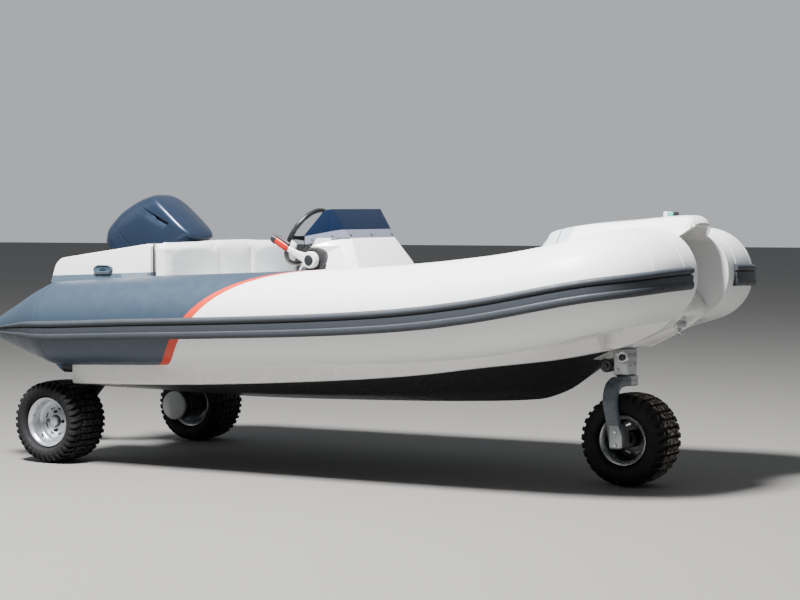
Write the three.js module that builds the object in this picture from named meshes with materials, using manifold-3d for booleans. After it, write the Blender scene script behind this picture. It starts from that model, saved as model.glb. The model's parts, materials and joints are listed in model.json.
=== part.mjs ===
// Amphibious rigid inflatable boat, parked on its three wheels. Millimetres, +X to the bow,
// +Y to port, +Z up. Lengths along the boat are measured from the rear axle, and the whole
// boat is then moved by MIDDLE_X so that the origin is the middle of its box on the ground.
import * as THREE from "three";
import { mergeVertices } from "three/addons/utils/BufferGeometryUtils.js";
import Module from "manifold-3d";

const wasm = await Module();
wasm.setup();

// Driving dimensions
const GAP = 0.3;                    // clearance between touching pieces
const MIDDLE_X = 1495.7;             // middle of the whole boat, ahead of the rear axle
const SIDES = [["starboard", -1], ["port", 1]];

const WHEELBASE = 3200;
const HALF_TRACK = 649;
const REAR_TYRE = { radius: 227.5, width: 290, rimRadius: 137.5, lugs: 17 };
const FRONT_TYRE = { radius: 235, width: 264, rimRadius: 127.5, lugs: 17 };
const LUG_HEIGHT = 11;

// Inflatable tubes: a straight side, then a blunt bow outline x^N + y^N = 1
const HALF_BEAM = 970;
const BOW_START = 2600;
const BOW_LENGTH = 1046;
const BOW_POWER = 4;
const TUBE_RADIUS = 245;
const TUBE_STERN_RADIUS = 238;
const TUBE_BOW_RADIUS = 235;
const TUBE_SIDES = 24;
const SLOT_HALF = 190;              // half width of the slot between the tubes' bow ends
const STRAKE_ANGLE = THREE.MathUtils.degToRad(13.5);

// Hull
const TRANSOM_X = 130;
const DECK_Z = 600;                 // cockpit floor

// Stern pods, seat, console
const POD_INNER = 385;
const POD_OUTER = 660;

// Outboard motor, tilted up as it parks
const TILT = THREE.MathUtils.degToRad(40);
const TILT_PIN = [90, 0, 890];
const TRANSOM_TOP = 862;

// Helm
const HELM = { x: 1370, y: -200, z: 1250, radius: 165, slope: THREE.MathUtils.degToRad(30) };

// Front leg
const STEER_X = 3180;
const SHELF_Z = 690;                // underside of the bow where the front leg is bolted

// Solids
function toSolid(geometry) {
  const bare = geometry.clone();
  bare.deleteAttribute("normal");
  bare.deleteAttribute("uv");
  const merged = mergeVertices(bare, 1e-3);
  return new wasm.Manifold(new wasm.Mesh({
    numProp: 3,
    vertProperties: new Float32Array(merged.attributes.position.array),
    triVerts: new Uint32Array(merged.index.array),
  }));
}

function toGeometry(solid) {
  const mesh = solid.getMesh();
  const geometry = new THREE.BufferGeometry();
  geometry.setAttribute("position", new THREE.BufferAttribute(new Float32Array(mesh.vertProperties), 3));
  geometry.setIndex(new THREE.BufferAttribute(new Uint32Array(mesh.triVerts), 1));
  return geometry;
}

const cut = (geometry, ...tools) =>
  toGeometry(tools.reduce((solid, tool) => solid.subtract(toSolid(tool)), toSolid(geometry)));
const join = (geometry, ...others) =>
  toGeometry(others.reduce((solid, other) => solid.add(toSolid(other)), toSolid(geometry)));

// Triangles over a flat ring of points, turned the way that the ring runs
function capFaces(ring) {
  const normal = new THREE.Vector3();
  ring.forEach((point, i) => normal.add(point.clone().cross(ring[(i + 1) % ring.length])));
  normal.normalize();
  const side = new THREE.Vector3(1, 0, 0);
  if (Math.abs(normal.x) > 0.9) side.set(0, 1, 0);
  const across = side.cross(normal).normalize();
  const up = normal.clone().cross(across);
  const flat = ring.map((point) => new THREE.Vector2(point.dot(across), point.dot(up)));
  return THREE.ShapeUtils.triangulateShape(flat, []).map(([a, b, c]) => {
    const area = (flat[b].x - flat[a].x) * (flat[c].y - flat[a].y)
      - (flat[c].x - flat[a].x) * (flat[b].y - flat[a].y);
    return area > 0 ? [a, b, c] : [a, c, b];
  });
}

// Points and faces as one geometry, with the faces turned outwards
function closedBody(points, faces) {
  const volume = faces.reduce((sum, [a, b, c]) =>
    sum + points[a].dot(new THREE.Vector3().crossVectors(points[b], points[c])), 0);
  if (volume < 0) faces.forEach((face) => face.reverse());
  const geometry = new THREE.BufferGeometry().setFromPoints(points);
  geometry.setIndex(faces.flat());
  return geometry;
}

// A closed body through rings of equal count
function loft(rings) {
  const count = rings[0].length;
  const faces = [];
  for (let k = 0; k + 1 < rings.length; k++) {
    for (let i = 0; i < count; i++) {
      const a = k * count + i;
      const b = k * count + (i + 1) % count;
      faces.push([a, b, b + count], [a, b + count, a + count]);
    }
  }
  const last = (rings.length - 1) * count;
  capFaces(rings[0]).forEach(([a, b, c]) => faces.push([a, c, b]));
  capFaces(rings[rings.length - 1]).forEach(([a, b, c]) => faces.push([a + last, b + last, c + last]));
  return closedBody(rings.flat(), faces);
}

const at = (x, y, z) => new THREE.Vector3(x, y, z);

// A wheel-like body: the rings follow each other round and close on the first
function loftRing(rings) {
  const count = rings[0].length;
  const faces = [];
  rings.forEach((_, k) => {
    const next = ((k + 1) % rings.length) * count;
    for (let i = 0; i < count; i++) {
      const j = (i + 1) % count;
      faces.push([k * count + i, k * count + j, next + j], [k * count + i, next + j, next + i]);
    }
  });
  return closedBody(rings.flat(), faces);
}

// A pointed-oval section for legs and struts, from its fore edge to its aft edge
function foil(fore, aft, half, z) {
  const parts = [[0, 0], [0.12, 0.7], [0.38, 1], [0.72, 0.72], [1, 0.08]];
  const length = aft - fore;
  const one = parts.map(([part, wide]) => at(fore + part * length, half * wide, z));
  const other = parts.slice(1).reverse().map(([part, wide]) => at(fore + part * length, -half * wide, z));
  return [...one, ...other];
}

// A rounded-oblong section
function roundRing(aft, fore, half, z, sides = 24) {
  const [middle, reach] = [(aft + fore) / 2, (fore - aft) / 2];
  return Array.from({ length: sides }, (_, k) => {
    const angle = 2 * Math.PI * (k + 0.5) / sides;
    const [c, d] = [Math.cos(angle), Math.sin(angle)];
    const [along, across] = [c, d].map((value) => Math.sign(value) * Math.abs(value) ** 0.7);
    return at(middle + reach * along, half * across, z);
  });
}

// A side profile of [x, z] points, carried across from y0 to y1
const sidePlate = (profile, y0, y1) => loft([y0, y1].map((y) => profile.map(([x, z]) => at(x, y, z))));

// A block with chamfered upright edges and chamfered top and bottom edges
function block([x0, x1], [y0, y1], [z0, z1], chamfer) {
  const ring = (inset, z) => {
    const [a, b, c, d] = [x0 + inset, x1 - inset, y0 + inset, y1 - inset];
    const k = chamfer;
    return [[a + k, c], [b - k, c], [b, c + k], [b, d - k], [b - k, d], [a + k, d], [a, d - k], [a, c + k]]
      .map(([x, y]) => at(x, y, z));
  };
  return loft([ring(chamfer, z0), ring(0, z0 + chamfer), ring(0, z1 - chamfer), ring(chamfer, z1)]);
}

// A round bar between two points
function bar(from, to, radius, endRadius = radius, sides = 20) {
  const a = at(...from);
  const b = at(...to);
  const axis = b.clone().sub(a);
  const bar = new THREE.CylinderGeometry(endRadius, radius, axis.length(), sides);
  bar.applyQuaternion(new THREE.Quaternion().setFromUnitVectors(at(0, 1, 0), axis.clone().normalize()));
  bar.translate((a.x + b.x) / 2, (a.y + b.y) / 2, (a.z + b.z) / 2);
  return bar;
}

// Tube centre line: height from its place along the boat, plan from the bow outline
const tubeHeight = (x) => {
  const u = THREE.MathUtils.clamp((x - 200) / 3200, 0, 2);
  return 787 + 118 * u + 160 * u ** 6;
};
const tubeRadius = (x) =>
  THREE.MathUtils.lerp(TUBE_STERN_RADIUS, TUBE_RADIUS, THREE.MathUtils.clamp((x - 200) / 2200, 0, 1));

// Stern cone: x, radius, height of the centre
const STERN_CONE = [[-375, 40, 750], [-350, 61, 745], [-222, 117, 758], [0, 212, 782], [75, 235, 786]];
const STRAIGHT_STATIONS = [200, 500, 900, 1300, 1700, 2100, 2400];
const BOW_STATIONS = [1, 0.99, 0.965, 0.925, 0.87, 0.80, 0.72, 0.62, 0.5, 0.35, SLOT_HALF / HALF_BEAM];

function tubeStations() {
  const centre = HALF_BEAM - TUBE_RADIUS;
  const stations = STERN_CONE.map(([x, radius, z]) => ({ x, y: centre, z, nx: 0, ny: 1, radius }));
  STRAIGHT_STATIONS.forEach((x) =>
    stations.push({ x, y: centre, z: tubeHeight(x), nx: 0, ny: 1, radius: tubeRadius(x) }));
  BOW_STATIONS.forEach((v) => {
    const u = (1 - v ** BOW_POWER) ** (1 / BOW_POWER);
    const normal = new THREE.Vector2(u ** (BOW_POWER - 1) / BOW_LENGTH, v ** (BOW_POWER - 1) / HALF_BEAM);
    normal.normalize();
    const radius = THREE.MathUtils.lerp(TUBE_RADIUS, TUBE_BOW_RADIUS, u);
    const x = BOW_START + BOW_LENGTH * u - radius * normal.x;
    const y = HALF_BEAM * v - radius * normal.y;
    stations.push({ x, y, z: tubeHeight(x), nx: normal.x, ny: normal.y, radius });
  });
  return stations;
}

// A section of [outwards, up] points at each station; flatten puts the last ring on the slot's wall
function sweepTube(side, section, stations = tubeStations()) {
  const rings = stations.map((s) => section(s).map(([out, up]) =>
    at(s.x + out * s.nx, side * (s.y + out * s.ny), s.z + up)));
  rings[rings.length - 1].forEach((point) => { point.y = side * SLOT_HALF; });
  return loft(rings);
}

const circle = (radius, sides) => Array.from({ length: sides }, (_, k) => {
  const angle = 2 * Math.PI * k / sides;
  return [radius * Math.cos(angle), radius * Math.sin(angle)];
});

const tube = (side, grow = 0) => {
  const stations = tubeStations();
  if (grow > 0) {
    stations[0] = { ...stations[0], x: stations[0].x - grow };
  }
  const body = sweepTube(side, (s) => circle(s.radius + grow, TUBE_SIDES), stations);
  if (grow > 0) {
    const end = body.attributes.position;
    for (let i = end.count - TUBE_SIDES; i < end.count; i++) end.setY(i, side * (SLOT_HALF - grow));
  }
  return body;
};

// Rubbing strake: two ribs with a flat band between, ending short of the slot's rim; it runs below
// the tube's widest line, by less and less towards the bow
const STRAKE_END = 268;
const strakeMiddle = (x) =>
  THREE.MathUtils.degToRad(6.5 * THREE.MathUtils.clamp(x / 3415, 0, 1) ** 3 - 8.5);
function strake(side) {
  const outer = [[-1, 4], [-0.86, 22], [-0.6, 25], [-0.42, 14], [0.42, 14], [0.6, 25], [0.86, 22], [1, 4]];
  const section = (s) => {
    const points = outer.map(([part, proud]) => {
      const angle = strakeMiddle(s.x) + part * STRAKE_ANGLE;
      const reach = s.radius * Math.cos(angle) + proud * Math.min(1, s.radius / 120);
      return [reach, s.radius * Math.sin(angle)];
    });
    const inner = [1, -1].map((part) => {
      const angle = strakeMiddle(s.x) + part * STRAKE_ANGLE;
      return [s.radius * Math.cos(angle) - 12, s.radius * Math.sin(angle)];
    });
    return [...points, ...inner];
  };
  const rim = side > 0
    ? sidePlate([[3000, 500], [4000, 500], [4000, 1600], [3000, 1600]], -400, STRAKE_END)
    : sidePlate([[3000, 500], [4000, 500], [4000, 1600], [3000, 1600]], -STRAKE_END, 400);
  return cut(sweepTube(side, section), tube(side, GAP + 0.2), rim);
}

// Hull sections: x, keel z, chine z, chine half breadth, half breadth and height of the top edge
const HULL_SECTIONS = [
  [TRANSOM_X, 365, 445, 690, 700, 690],
  [830, 349, 468, 700, 712, 690],
  [1830, 368, 528, 698, 712, 740],
  [2320, 387, 572, 660, 685, 770],
  [2680, 413, 620, 570, 620, 800],
  [2850, 467, 640, 490, 560, 830],
  [2970, 549, 655, 410, 500, 850],
  [3040, 617, 668, 330, 450, 870],
  [3150, 680, 692, 240, 380, 880],
];

function hullBody(grow = 0) {
  const last = HULL_SECTIONS.length - 1;
  return loft(HULL_SECTIONS.map(([x, keel, chine, half, topHalf, top], i) => {
    const place = x + (i === last ? grow : 0);
    return [
      at(place, 0, keel - grow), at(place, -half - grow, chine), at(place, -topHalf - grow, top + grow),
      at(place, topHalf + grow, top + grow), at(place, half + grow, chine),
    ];
  }));
}

// Cockpit well cut into the hull above the floor
const WELL_PLAN = [[190, -500], [2450, -500], [2760, -330], [2760, 330], [2450, 500], [190, 500]];
const well = () => loft([DECK_Z, 1400].map((z) => WELL_PLAN.map(([x, y]) => at(x, y, z))));

// Bow moulding between the tubes: the fore deck's base, the ramp in the slot and the nose under it
const RAMP_PROFILE = [
  [2765, 700], [3200, 700], [3310, 735], [3440, 800], [3495, 845], [3526, 878], [3532, 900], [3519, 925],
  [3497, 955], [3472, 990], [3430, 1035], [3370, 1075], [3290, 1110], [3180, 1150], [2765, 1150],
];

// Materials: colour, roughness, metalness
const finish = (color, roughness, metalness = 0) =>
  new THREE.MeshStandardMaterial({ color, roughness, metalness });
const WHITE_MOULDING = finish(0xf2f2ee, 0.35);
const WHITE_TUBE = finish(0xe9eaea, 0.55);
const SLATE = finish(0x414a55, 0.5);
const BLACK = finish(0x17181a, 0.6);
const TYRE = finish(0x161616, 0.85);
const SILVER = finish(0xb9bdc2, 0.3, 0.8);
const GREY_METAL = finish(0x8d9196, 0.45, 0.5);
const COWL = finish(0x33496a, 0.25, 0.4);
const BLUE_SCREEN = finish(0x1b2c55, 0.1);
const CUSHION = finish(0xd8dadd, 0.7);
const RED = finish(0xc8261c, 0.4);

const boat = new THREE.Group();
const shifted = new THREE.Group();
shifted.position.set(-MIDDLE_X, 0, 0);
boat.add(shifted);

function piece(name, geometry, material, parent = shifted) {
  const mesh = new THREE.Mesh(geometry, material);
  mesh.name = name;
  parent.add(mesh);
  return mesh;
}

// Tubes and strakes
SIDES.forEach(([name, side]) => {
  piece(`tube_${name}`, tube(side), WHITE_TUBE);
  piece(`strake_${name}`, strake(side), SLATE);
});

// Hull with its cockpit well, and the transom plate that carries the motor
const grownTubes = SIDES.map(([, side]) => tube(side, GAP));
const shelf = sidePlate([[3050, 500], [3330, 500], [3330, SHELF_Z], [3050, SHELF_Z]], -130, 130);
piece("hull", cut(hullBody(), ...grownTubes, well(), shelf), WHITE_MOULDING);
piece("transom", block([TRANSOM_X, TRANSOM_X + 58], [-POD_INNER + GAP, POD_INNER - GAP],
  [690 + GAP, TRANSOM_TOP], 6), WHITE_MOULDING);

// Bow: ramp, hood over the slot, nose plate, towing eye, light
const slotSides = SIDES.map(([, side]) => sidePlate(
  [[3250, 500], [3800, 500], [3800, 1400], [3250, 1400]], side * (SLOT_HALF - 2), side * 700));
// Nose sections: x, half breadth, lowest, highest
const NOSE_END = 3466;
const NOSE_SECTIONS = [[3290, 112, 701, 760], [NOSE_END, 66, 784, 862]];
const noseBody = (grow) => loft(NOSE_SECTIONS.map(([x, half, low, high], i) => {
  const place = x + (i === 0 ? -grow : grow);
  return [[-half - grow, high + grow], [half + grow, high + grow], [half + grow, low + 22],
    [half * 0.4, low - grow], [-half * 0.4, low - grow], [-half - grow, low + 22]]
    .map(([y, z]) => at(place, y, z));
}));
const plateRecess = block([NOSE_END, 3600], [-72, 72], [760, 866], 2);
piece("bow_ramp", cut(sidePlate(RAMP_PROFILE, -560, 560), ...grownTubes, ...slotSides,
  hullBody(GAP), noseBody(GAP), shelf, plateRecess), WHITE_MOULDING);
piece("bow_nose", cut(noseBody(0), shelf), WHITE_MOULDING);
const eye = new THREE.TorusGeometry(17, 5, 8, 20).rotateY(Math.PI / 2);
eye.translate(NOSE_END + 5.5, 0, 785);
piece("bow_plate", join(block([NOSE_END + GAP, NOSE_END + 10], [-58, 58], [802, 856], 2), eye), GREY_METAL);

// Hood sections: x, half breadth of the top, half breadth and height of the base, height of the top
const HOOD_SECTIONS = [
  [2893, 306, 385, 1150, 1262],
  [2920, 318, 400, 1150, 1290],
  [3050, 300, 400, 1150, 1318],
  [3300, 210, 320, 1150, 1341],
  [3535, 105, 230, 1150, 1360],
  [3592, 80, 200, 1150, 1320],
];
const hoodBody = loft(HOOD_SECTIONS.map(([x, top, base, low, high]) => [
  at(x, -base, low + GAP), at(x, -base, low + 60), at(x, -top, high - 12), at(x, -top + 40, high),
  at(x, top - 40, high), at(x, top, high - 12), at(x, base, low + 60), at(x, base, low + GAP),
]));
const ARCH = [[-195, 1100], [-195, 1235], [-150, 1262], [-68, 1306], [68, 1306], [150, 1262], [195, 1235],
  [195, 1100]];
const arch = loft([3080, 3800].map((x) => ARCH.map(([y, z]) => at(x, y, z))));
const LIP_PROFILE = [[3480, 1100], [3800, 1100], [3800, 1400], [3601, 1400], [3588, 1309], [3542, 1262],
  [3500, 1210]];
const lipTrim = sidePlate(LIP_PROFILE, -700, 700);
piece("bow_hood", cut(hoodBody, ...grownTubes, arch, lipTrim), WHITE_MOULDING);
const raisedHood = hoodBody.clone().translate(0, 0, GAP);
piece("bow_light", cut(block([3382, 3442], [-32, 32], [1325, 1382], 6), raisedHood), BLACK);

// Stern pods beside the motor well
const POD_PROFILE = [
  [-50, 1000], [0, 1131], [640, 1216], [655, 1207], [655, 691], [190, 691], [130, 700], [130, 960],
];
SIDES.forEach(([name, side]) => {
  const pod = sidePlate(POD_PROFILE, side * POD_INNER, side * POD_OUTER);
  piece(`stern_pod_${name}`, cut(pod, ...grownTubes, hullBody(GAP)), WHITE_MOULDING);
  piece(`cleat_${name}`, block([264, 397], [side > 0 ? POD_OUTER + GAP : -POD_OUTER - 28,
    side > 0 ? POD_OUTER + 28 : -POD_OUTER - GAP], [1057, 1099], 6), BLACK);
});

// Seat: moulded base, cushion, backrest
piece("seat_base", block([700, 1120], [-440, 440], [DECK_Z + GAP, 880], 12), WHITE_MOULDING);
piece("seat_cushion", block([705, 1130], [-450, 450], [880 + GAP, 975], 25), CUSHION);
piece("seat_backrest", cut(block([657, 750], [-655, 655], [960, 1238], 22), ...grownTubes,
  block([704, 1140], [-455, 455], [870, 976], 0.5)), CUSHION);

// Console sections: z, aft x, front x, half breadth aft and front
const CONSOLE_SECTIONS = [
  [DECK_Z + GAP, 1330, 1823, 350, 350],
  [1050, 1368, 1768, 345, 328],
  [1110, 1403, 1744, 342, 316],
  [1205, 1457, 1686, 338, 276],
  [1245, 1480, 1662, 328, 258],
];
const consoleBody = (grow = 0) => loft(CONSOLE_SECTIONS.map(([z, aft, front, halfAft, halfFront], i) => {
  const [a, f, ha, hf] = [aft - grow, front + grow, halfAft + grow, halfFront + grow];
  const level = z + (i === CONSOLE_SECTIONS.length - 1 ? grow : 0);
  return [[a, 40 - ha], [a + 40, -ha], [f - 45, -hf], [f, 40 - hf], [f, hf - 40], [f - 45, hf],
    [a + 40, ha], [a, ha - 40]].map(([x, y]) => at(x, y, level));
}));
piece("console", consoleBody(), WHITE_MOULDING);

// Windscreen: three panes in one sheet along the console's top edge; its foot drops towards the stern
const SCREEN_BASE = [[1450, -346, 1212], [1617, -268, 1246], [1660, -228, 1246], [1660, 228, 1246],
  [1617, 268, 1246], [1450, 346, 1212]];
const SCREEN_TOP = [[1440, -330, 1266], [1530, -272, 1396], [1558, -240, 1400], [1558, 240, 1400],
  [1530, 272, 1396], [1440, 330, 1266]];
const SCREEN_THICK = 6;
const screenRings = SCREEN_BASE.map(([x, y, z], i) => {
  const [tx, ty, tz] = SCREEN_TOP[i];
  const inward = at(1350 - x, -y, 0).normalize().multiplyScalar(SCREEN_THICK);
  const foot = at(x, y, z);
  const head = at(tx, ty, tz);
  return [foot, head, head.clone().add(inward), foot.clone().add(inward)];
});
piece("windscreen", cut(loft(screenRings), consoleBody(GAP)), BLUE_SCREEN);

// Helm
const helmAxis = at(-Math.cos(HELM.slope), 0, Math.sin(HELM.slope));
const helmPoint = (along) => at(HELM.x, HELM.y, HELM.z).addScaledVector(helmAxis, along).toArray();
piece("helm_boss", cut(bar(helmPoint(-150), helmPoint(-30), 42, 34), consoleBody(GAP)), BLACK);
const rim = new THREE.TorusGeometry(HELM.radius, 13, 8, 30);
const wheelTurn = new THREE.Quaternion().setFromUnitVectors(at(0, 0, 1), helmAxis);
rim.applyQuaternion(wheelTurn).translate(HELM.x, HELM.y, HELM.z);
const spokes = [90, 180, 270].map((degrees) => {
  const angle = THREE.MathUtils.degToRad(degrees);
  const tip = at(Math.cos(angle), Math.sin(angle), 0).multiplyScalar(HELM.radius - 4);
  tip.applyQuaternion(wheelTurn).add(at(HELM.x, HELM.y, HELM.z));
  return bar(helmPoint(-12), tip.toArray(), 13, 9, 10);
});
piece("steering_wheel", join(rim, bar(helmPoint(-30 + GAP), helmPoint(4), 38), ...spokes), BLACK);

// Throttle on the console's starboard side
const THROTTLE = { x: 1510, z: 1131 };
piece("throttle_disc", cut(bar([THROTTLE.x, -300, THROTTLE.z], [THROTTLE.x, -362, THROTTLE.z], 67, 67, 28),
  consoleBody(GAP)), BLACK);
const leverHub = bar([THROTTLE.x, -362 - GAP, THROTTLE.z], [THROTTLE.x, -400, THROTTLE.z], 44, 40, 24);
// Lever and grip: distance along, half height, place outboard of the hub
const LEVER_SECTIONS = [[0, 26, 0], [150, 14, -22], [158, 19, -24], [255, 18, -26]];
const leverArm = loft(LEVER_SECTIONS.map(([along, half, out]) => {
  const angle = THREE.MathUtils.degToRad(153);
  const [dx, dz] = [Math.cos(angle), Math.sin(angle)];
  return [[-half, -366], [half, -366], [half, -396], [-half, -396]].map(([across, y]) =>
    at(THROTTLE.x + along * dx - across * dz, y + out, THROTTLE.z + along * dz + across * dx));
}));
piece("throttle_lever", join(leverHub, leverArm), RED);

// Wheels: tyre grid with raised lugs, and a lathed rim; s runs outboard from the wheel's middle
function tyre({ radius, width, rimRadius, lugs }) {
  const half = width / 2;
  const base = radius - LUG_HEIGHT;
  const bead = rimRadius - 12;
  const tread = [0.92, 0.55, 0.44, 0.06].map((part) => part * half);
  const columns = [[bead, -0.6 * half], [0.5 * (bead + base), -half], [base - 8, -0.97 * half]];
  const columnLug = [-1, -1, -1];
  tread.forEach((s, i) => {
    columns.push([base - 7 * (s / half) ** 2, -s]);
    columnLug.push(i < 2 ? 0 : 1);
  });
  const profile = [...columns, ...columns.map(([r, s]) => [r, -s]).reverse()];
  const lug = [...columnLug, ...columnLug.map((kind) => (kind < 0 ? kind : 1 - kind)).reverse()];
  const steps = lugs * 4;
  return loftRing(Array.from({ length: steps }, (_, k) => {
    const angle = 2 * Math.PI * (k + (k % 2 ? -0.22 : 0.22)) / steps - Math.PI / 2 - 3 * Math.PI / steps;
    return profile.map(([r, s], i) => {
      const raised = lug[i] >= 0 && Math.floor(((k + 1) % 4) / 2) === lug[i];
      const reach = raised ? (r + LUG_HEIGHT) / Math.cos(1.44 * Math.PI / steps) : r;
      return at(reach * Math.cos(angle), s, reach * Math.sin(angle));
    });
  }));
}

// Rim profile: radius and place outboard from the wheel's middle; closed on the axle
const rimProfile = (bead, half) => [
  [0, 62], [28, 62], [33, 38], [0.8 * bead, 28], [bead - 6, 44], [bead - 6, half - 7], [bead + 8, half],
  [bead + 12, half], [bead + 12, half - 4], [bead - 0.4, half - 6], [bead - 0.4, 6 - half],
  [bead + 12, 4 - half], [bead + 12, -half], [bead + 8, -half], [bead - 6, 7 - half], [bead - 6, 26],
  [0.8 * bead, 16], [33, 22], [0, 22],
];

function rimBody({ rimRadius, width }, side) {
  const points = rimProfile(rimRadius - 12, 0.39 * width).map(([r, s]) => new THREE.Vector2(r, side * s));
  return new THREE.LatheGeometry(side > 0 ? points.reverse() : points, 24);
}

const FRONT_AXLE = [WHEELBASE, 0, FRONT_TYRE.radius];
const MOTOR_RADIUS = 86;
SIDES.forEach(([name, side]) => {
  const place = [0, side * HALF_TRACK, REAR_TYRE.radius];
  piece(`rear_tyre_${name}`, tyre(REAR_TYRE).translate(...place), TYRE);
  piece(`rear_rim_${name}`, rimBody(REAR_TYRE, side).translate(...place), SILVER);
  const [x, , z] = place;
  const drum = bar([x, side * 377, z], [x, side * 610, z], MOTOR_RADIUS, MOTOR_RADIUS, 32);
  const spindle = bar([x, side * 600, z], [x, side * (HALF_TRACK + 22 - GAP), z], 32);
  piece(`wheel_motor_${name}`, join(drum, spindle), GREY_METAL);
  const arm = loft([[0, 300, 70], [205, 520, 80]].map(([px, pz, w]) =>
    [[-w / 2, 440], [w / 2, 440], [w / 2, 495], [-w / 2, 495]].map(([across, y]) =>
      at(px + across * 0.75, side * y, pz - across * 0.65))));
  const motorHole = bar([x, side * 300, z], [x, side * 700, z], MOTOR_RADIUS + GAP, MOTOR_RADIUS + GAP, 32);
  piece(`rear_leg_${name}`, cut(arm, motorHole, hullBody(GAP)), SLATE);
  const boss = bar([60, side * 670, 540], [TRANSOM_X - GAP, side * 670, 540], 38);
  piece(`stern_boss_${name}`, cut(boss, ...grownTubes), BLACK);
});

// Front leg: bracket under the bow, then the fork that steers, with its wheel
piece("front_bracket", block([3128, 3208], [-60, 60], [556, SHELF_Z - GAP], 6), GREY_METAL);
piece("leg_pin", bar([3184, -82, 650], [3184, -60 - GAP, 650], 17), BLACK);
// Fork arm: x, y, z, half width along the boat, half thickness
const forkPath = [
  [3178, 0, 530, 44, 24], [3174, -84, 529, 42, 23], [3166, -143, 502, 40, 18], [3165, -166, 440, 40, 15],
  [3182, -168, 330, 38, 14], [3197, -168, 200, 33, 14],
];
const forkArm = loft(forkPath.map(([x, y, z, half, thick], i) => {
  const before = at(...forkPath[Math.max(i - 1, 0)].slice(0, 3));
  const after = at(...forkPath[Math.min(i + 1, forkPath.length - 1)].slice(0, 3));
  const along = after.sub(before).normalize();
  const across = at(0, -along.z, along.y).normalize();
  return [[-half, -thick], [half, -thick], [half, thick], [-half, thick]].map(([fx, t]) =>
    at(x + fx, y, z).addScaledVector(across, t));
}));
const collar = bar([STEER_X, 0, 506], [STEER_X, 0, 556 - GAP], 55, 55, 28);
piece("front_fork", join(forkArm, collar), SLATE);
const [axleX, , axleZ] = FRONT_AXLE;
piece("front_axle", bar([axleX, -154 + GAP, axleZ], [axleX, 22 - GAP, axleZ], 16), GREY_METAL);
piece("front_tyre", tyre(FRONT_TYRE).translate(...FRONT_AXLE), TYRE);
piece("front_rim", rimBody(FRONT_TYRE, 1).translate(...FRONT_AXLE), SILVER);

// Outboard motor in its own upright frame about the tilt pin, then tilted up
const clampSide = (y0, y1) => sidePlate([
  [TRANSOM_X - GAP, 640], [TRANSOM_X - GAP, TRANSOM_TOP + GAP], [TRANSOM_X + 58 + GAP, TRANSOM_TOP + GAP],
  [TRANSOM_X + 58 + GAP, 770], [TRANSOM_X + 84, 770], [TRANSOM_X + 84, 855], [192, 874], [112, 916],
  [68, 915], [68, 860], [96, 800], [96, 640],
], y0, y1);
const [pinX, , pinZ] = TILT_PIN;
piece("clamp_bracket", join(clampSide(-100, -72), clampSide(72, 100),
  bar([pinX, -112, pinZ], [pinX, 112, pinZ], 13)), GREY_METAL);

const motor = new THREE.Group();
motor.position.set(...TILT_PIN);
motor.rotation.y = TILT;
shifted.add(motor);
const SWIVEL_X = -62;
const PAN_Z = 90;                   // underside of the pan, high enough to pass over the clamp bracket
const swivelRaw = join(bar([0, -70, 0], [0, 70, 0], 30, 30, 24),
  sidePlate([[10, -28], [10, 20], [SWIVEL_X, 26], [SWIVEL_X, -260], [SWIVEL_X + 20, -260]], -28, 28),
  bar([SWIVEL_X, 0, -300], [SWIVEL_X, 0, 40], 34, 34, 24));
piece("swivel_bracket", cut(swivelRaw, bar([0, -90, 0], [0, 90, 0], 13 + GAP, 13 + GAP, 20),
  bar([SWIVEL_X, 0, -400], [SWIVEL_X, 0, 80], 18 + GAP, 18 + GAP, 20)), GREY_METAL, motor);
const kingPin = bar([SWIVEL_X, 0, -330], [SWIVEL_X, 0, 60], 18);
const upperArm = block([-240, SWIVEL_X + 34], [-45, 45], [40 + 6, 74], 5);
const lowerArm = block([-200, SWIVEL_X + 30], [-34, 34], [-336, -306], 5);
const foilBody = (sections) => loft(sections.map(([z, fore, aft, half]) => foil(-fore, -aft, half, z)));
const legHousing = foilBody([[-500, 105, 225, 26], [-300, 104, 228, 40], [PAN_Z, 104, 240, 60]]);
piece("motor_leg", join(legHousing, kingPin, upperArm, lowerArm), COWL, motor);
const strut = foilBody([[-640, 110, 262, 20], [-500 - GAP, 100, 240, 27]]);
const plate = sidePlate([[-95, -506], [-95, -500 - GAP], [-400, -500 - GAP], [-400, -506]], -85, 85);
const TORPEDO_PROFILE = [[0, 0], [22, 18], [38, 55], [44, 110], [44, 190], [36, 250], [0, 250]];
const torpedo = new THREE.LatheGeometry(TORPEDO_PROFILE.map(([r, along]) => new THREE.Vector2(r, along)), 20);
torpedo.rotateZ(Math.PI / 2).translate(-80, 0, -640);
const skeg = foilBody([[-660, 130, 260, 8], [-750, 205, 275, 4]]);
piece("gearcase", join(strut, plate, torpedo, skeg), COWL, motor);
const PROP = { x0: -330 - GAP, x1: -405, radius: 125 };
const blades = [90, 210, 330].map((degrees) => {
  const blade = loft([[20, 18, 0.9], [70, 42, 0.7], [PROP.radius, 22, 0.45]].map(([r, half, pitch]) => [
    [-half, -3], [half, -3], [half, 3], [-half, 3]].map(([a, b]) =>
    at(-368 + a * Math.sin(pitch) - b * Math.cos(pitch), a * Math.cos(pitch) + b * Math.sin(pitch), r))));
  return blade.rotateX(THREE.MathUtils.degToRad(degrees)).translate(0, 0, -640);
});
piece("propeller", join(bar([PROP.x0, 0, -640], [PROP.x1, 0, -640], 32, 26), ...blades), BLACK, motor);

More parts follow.
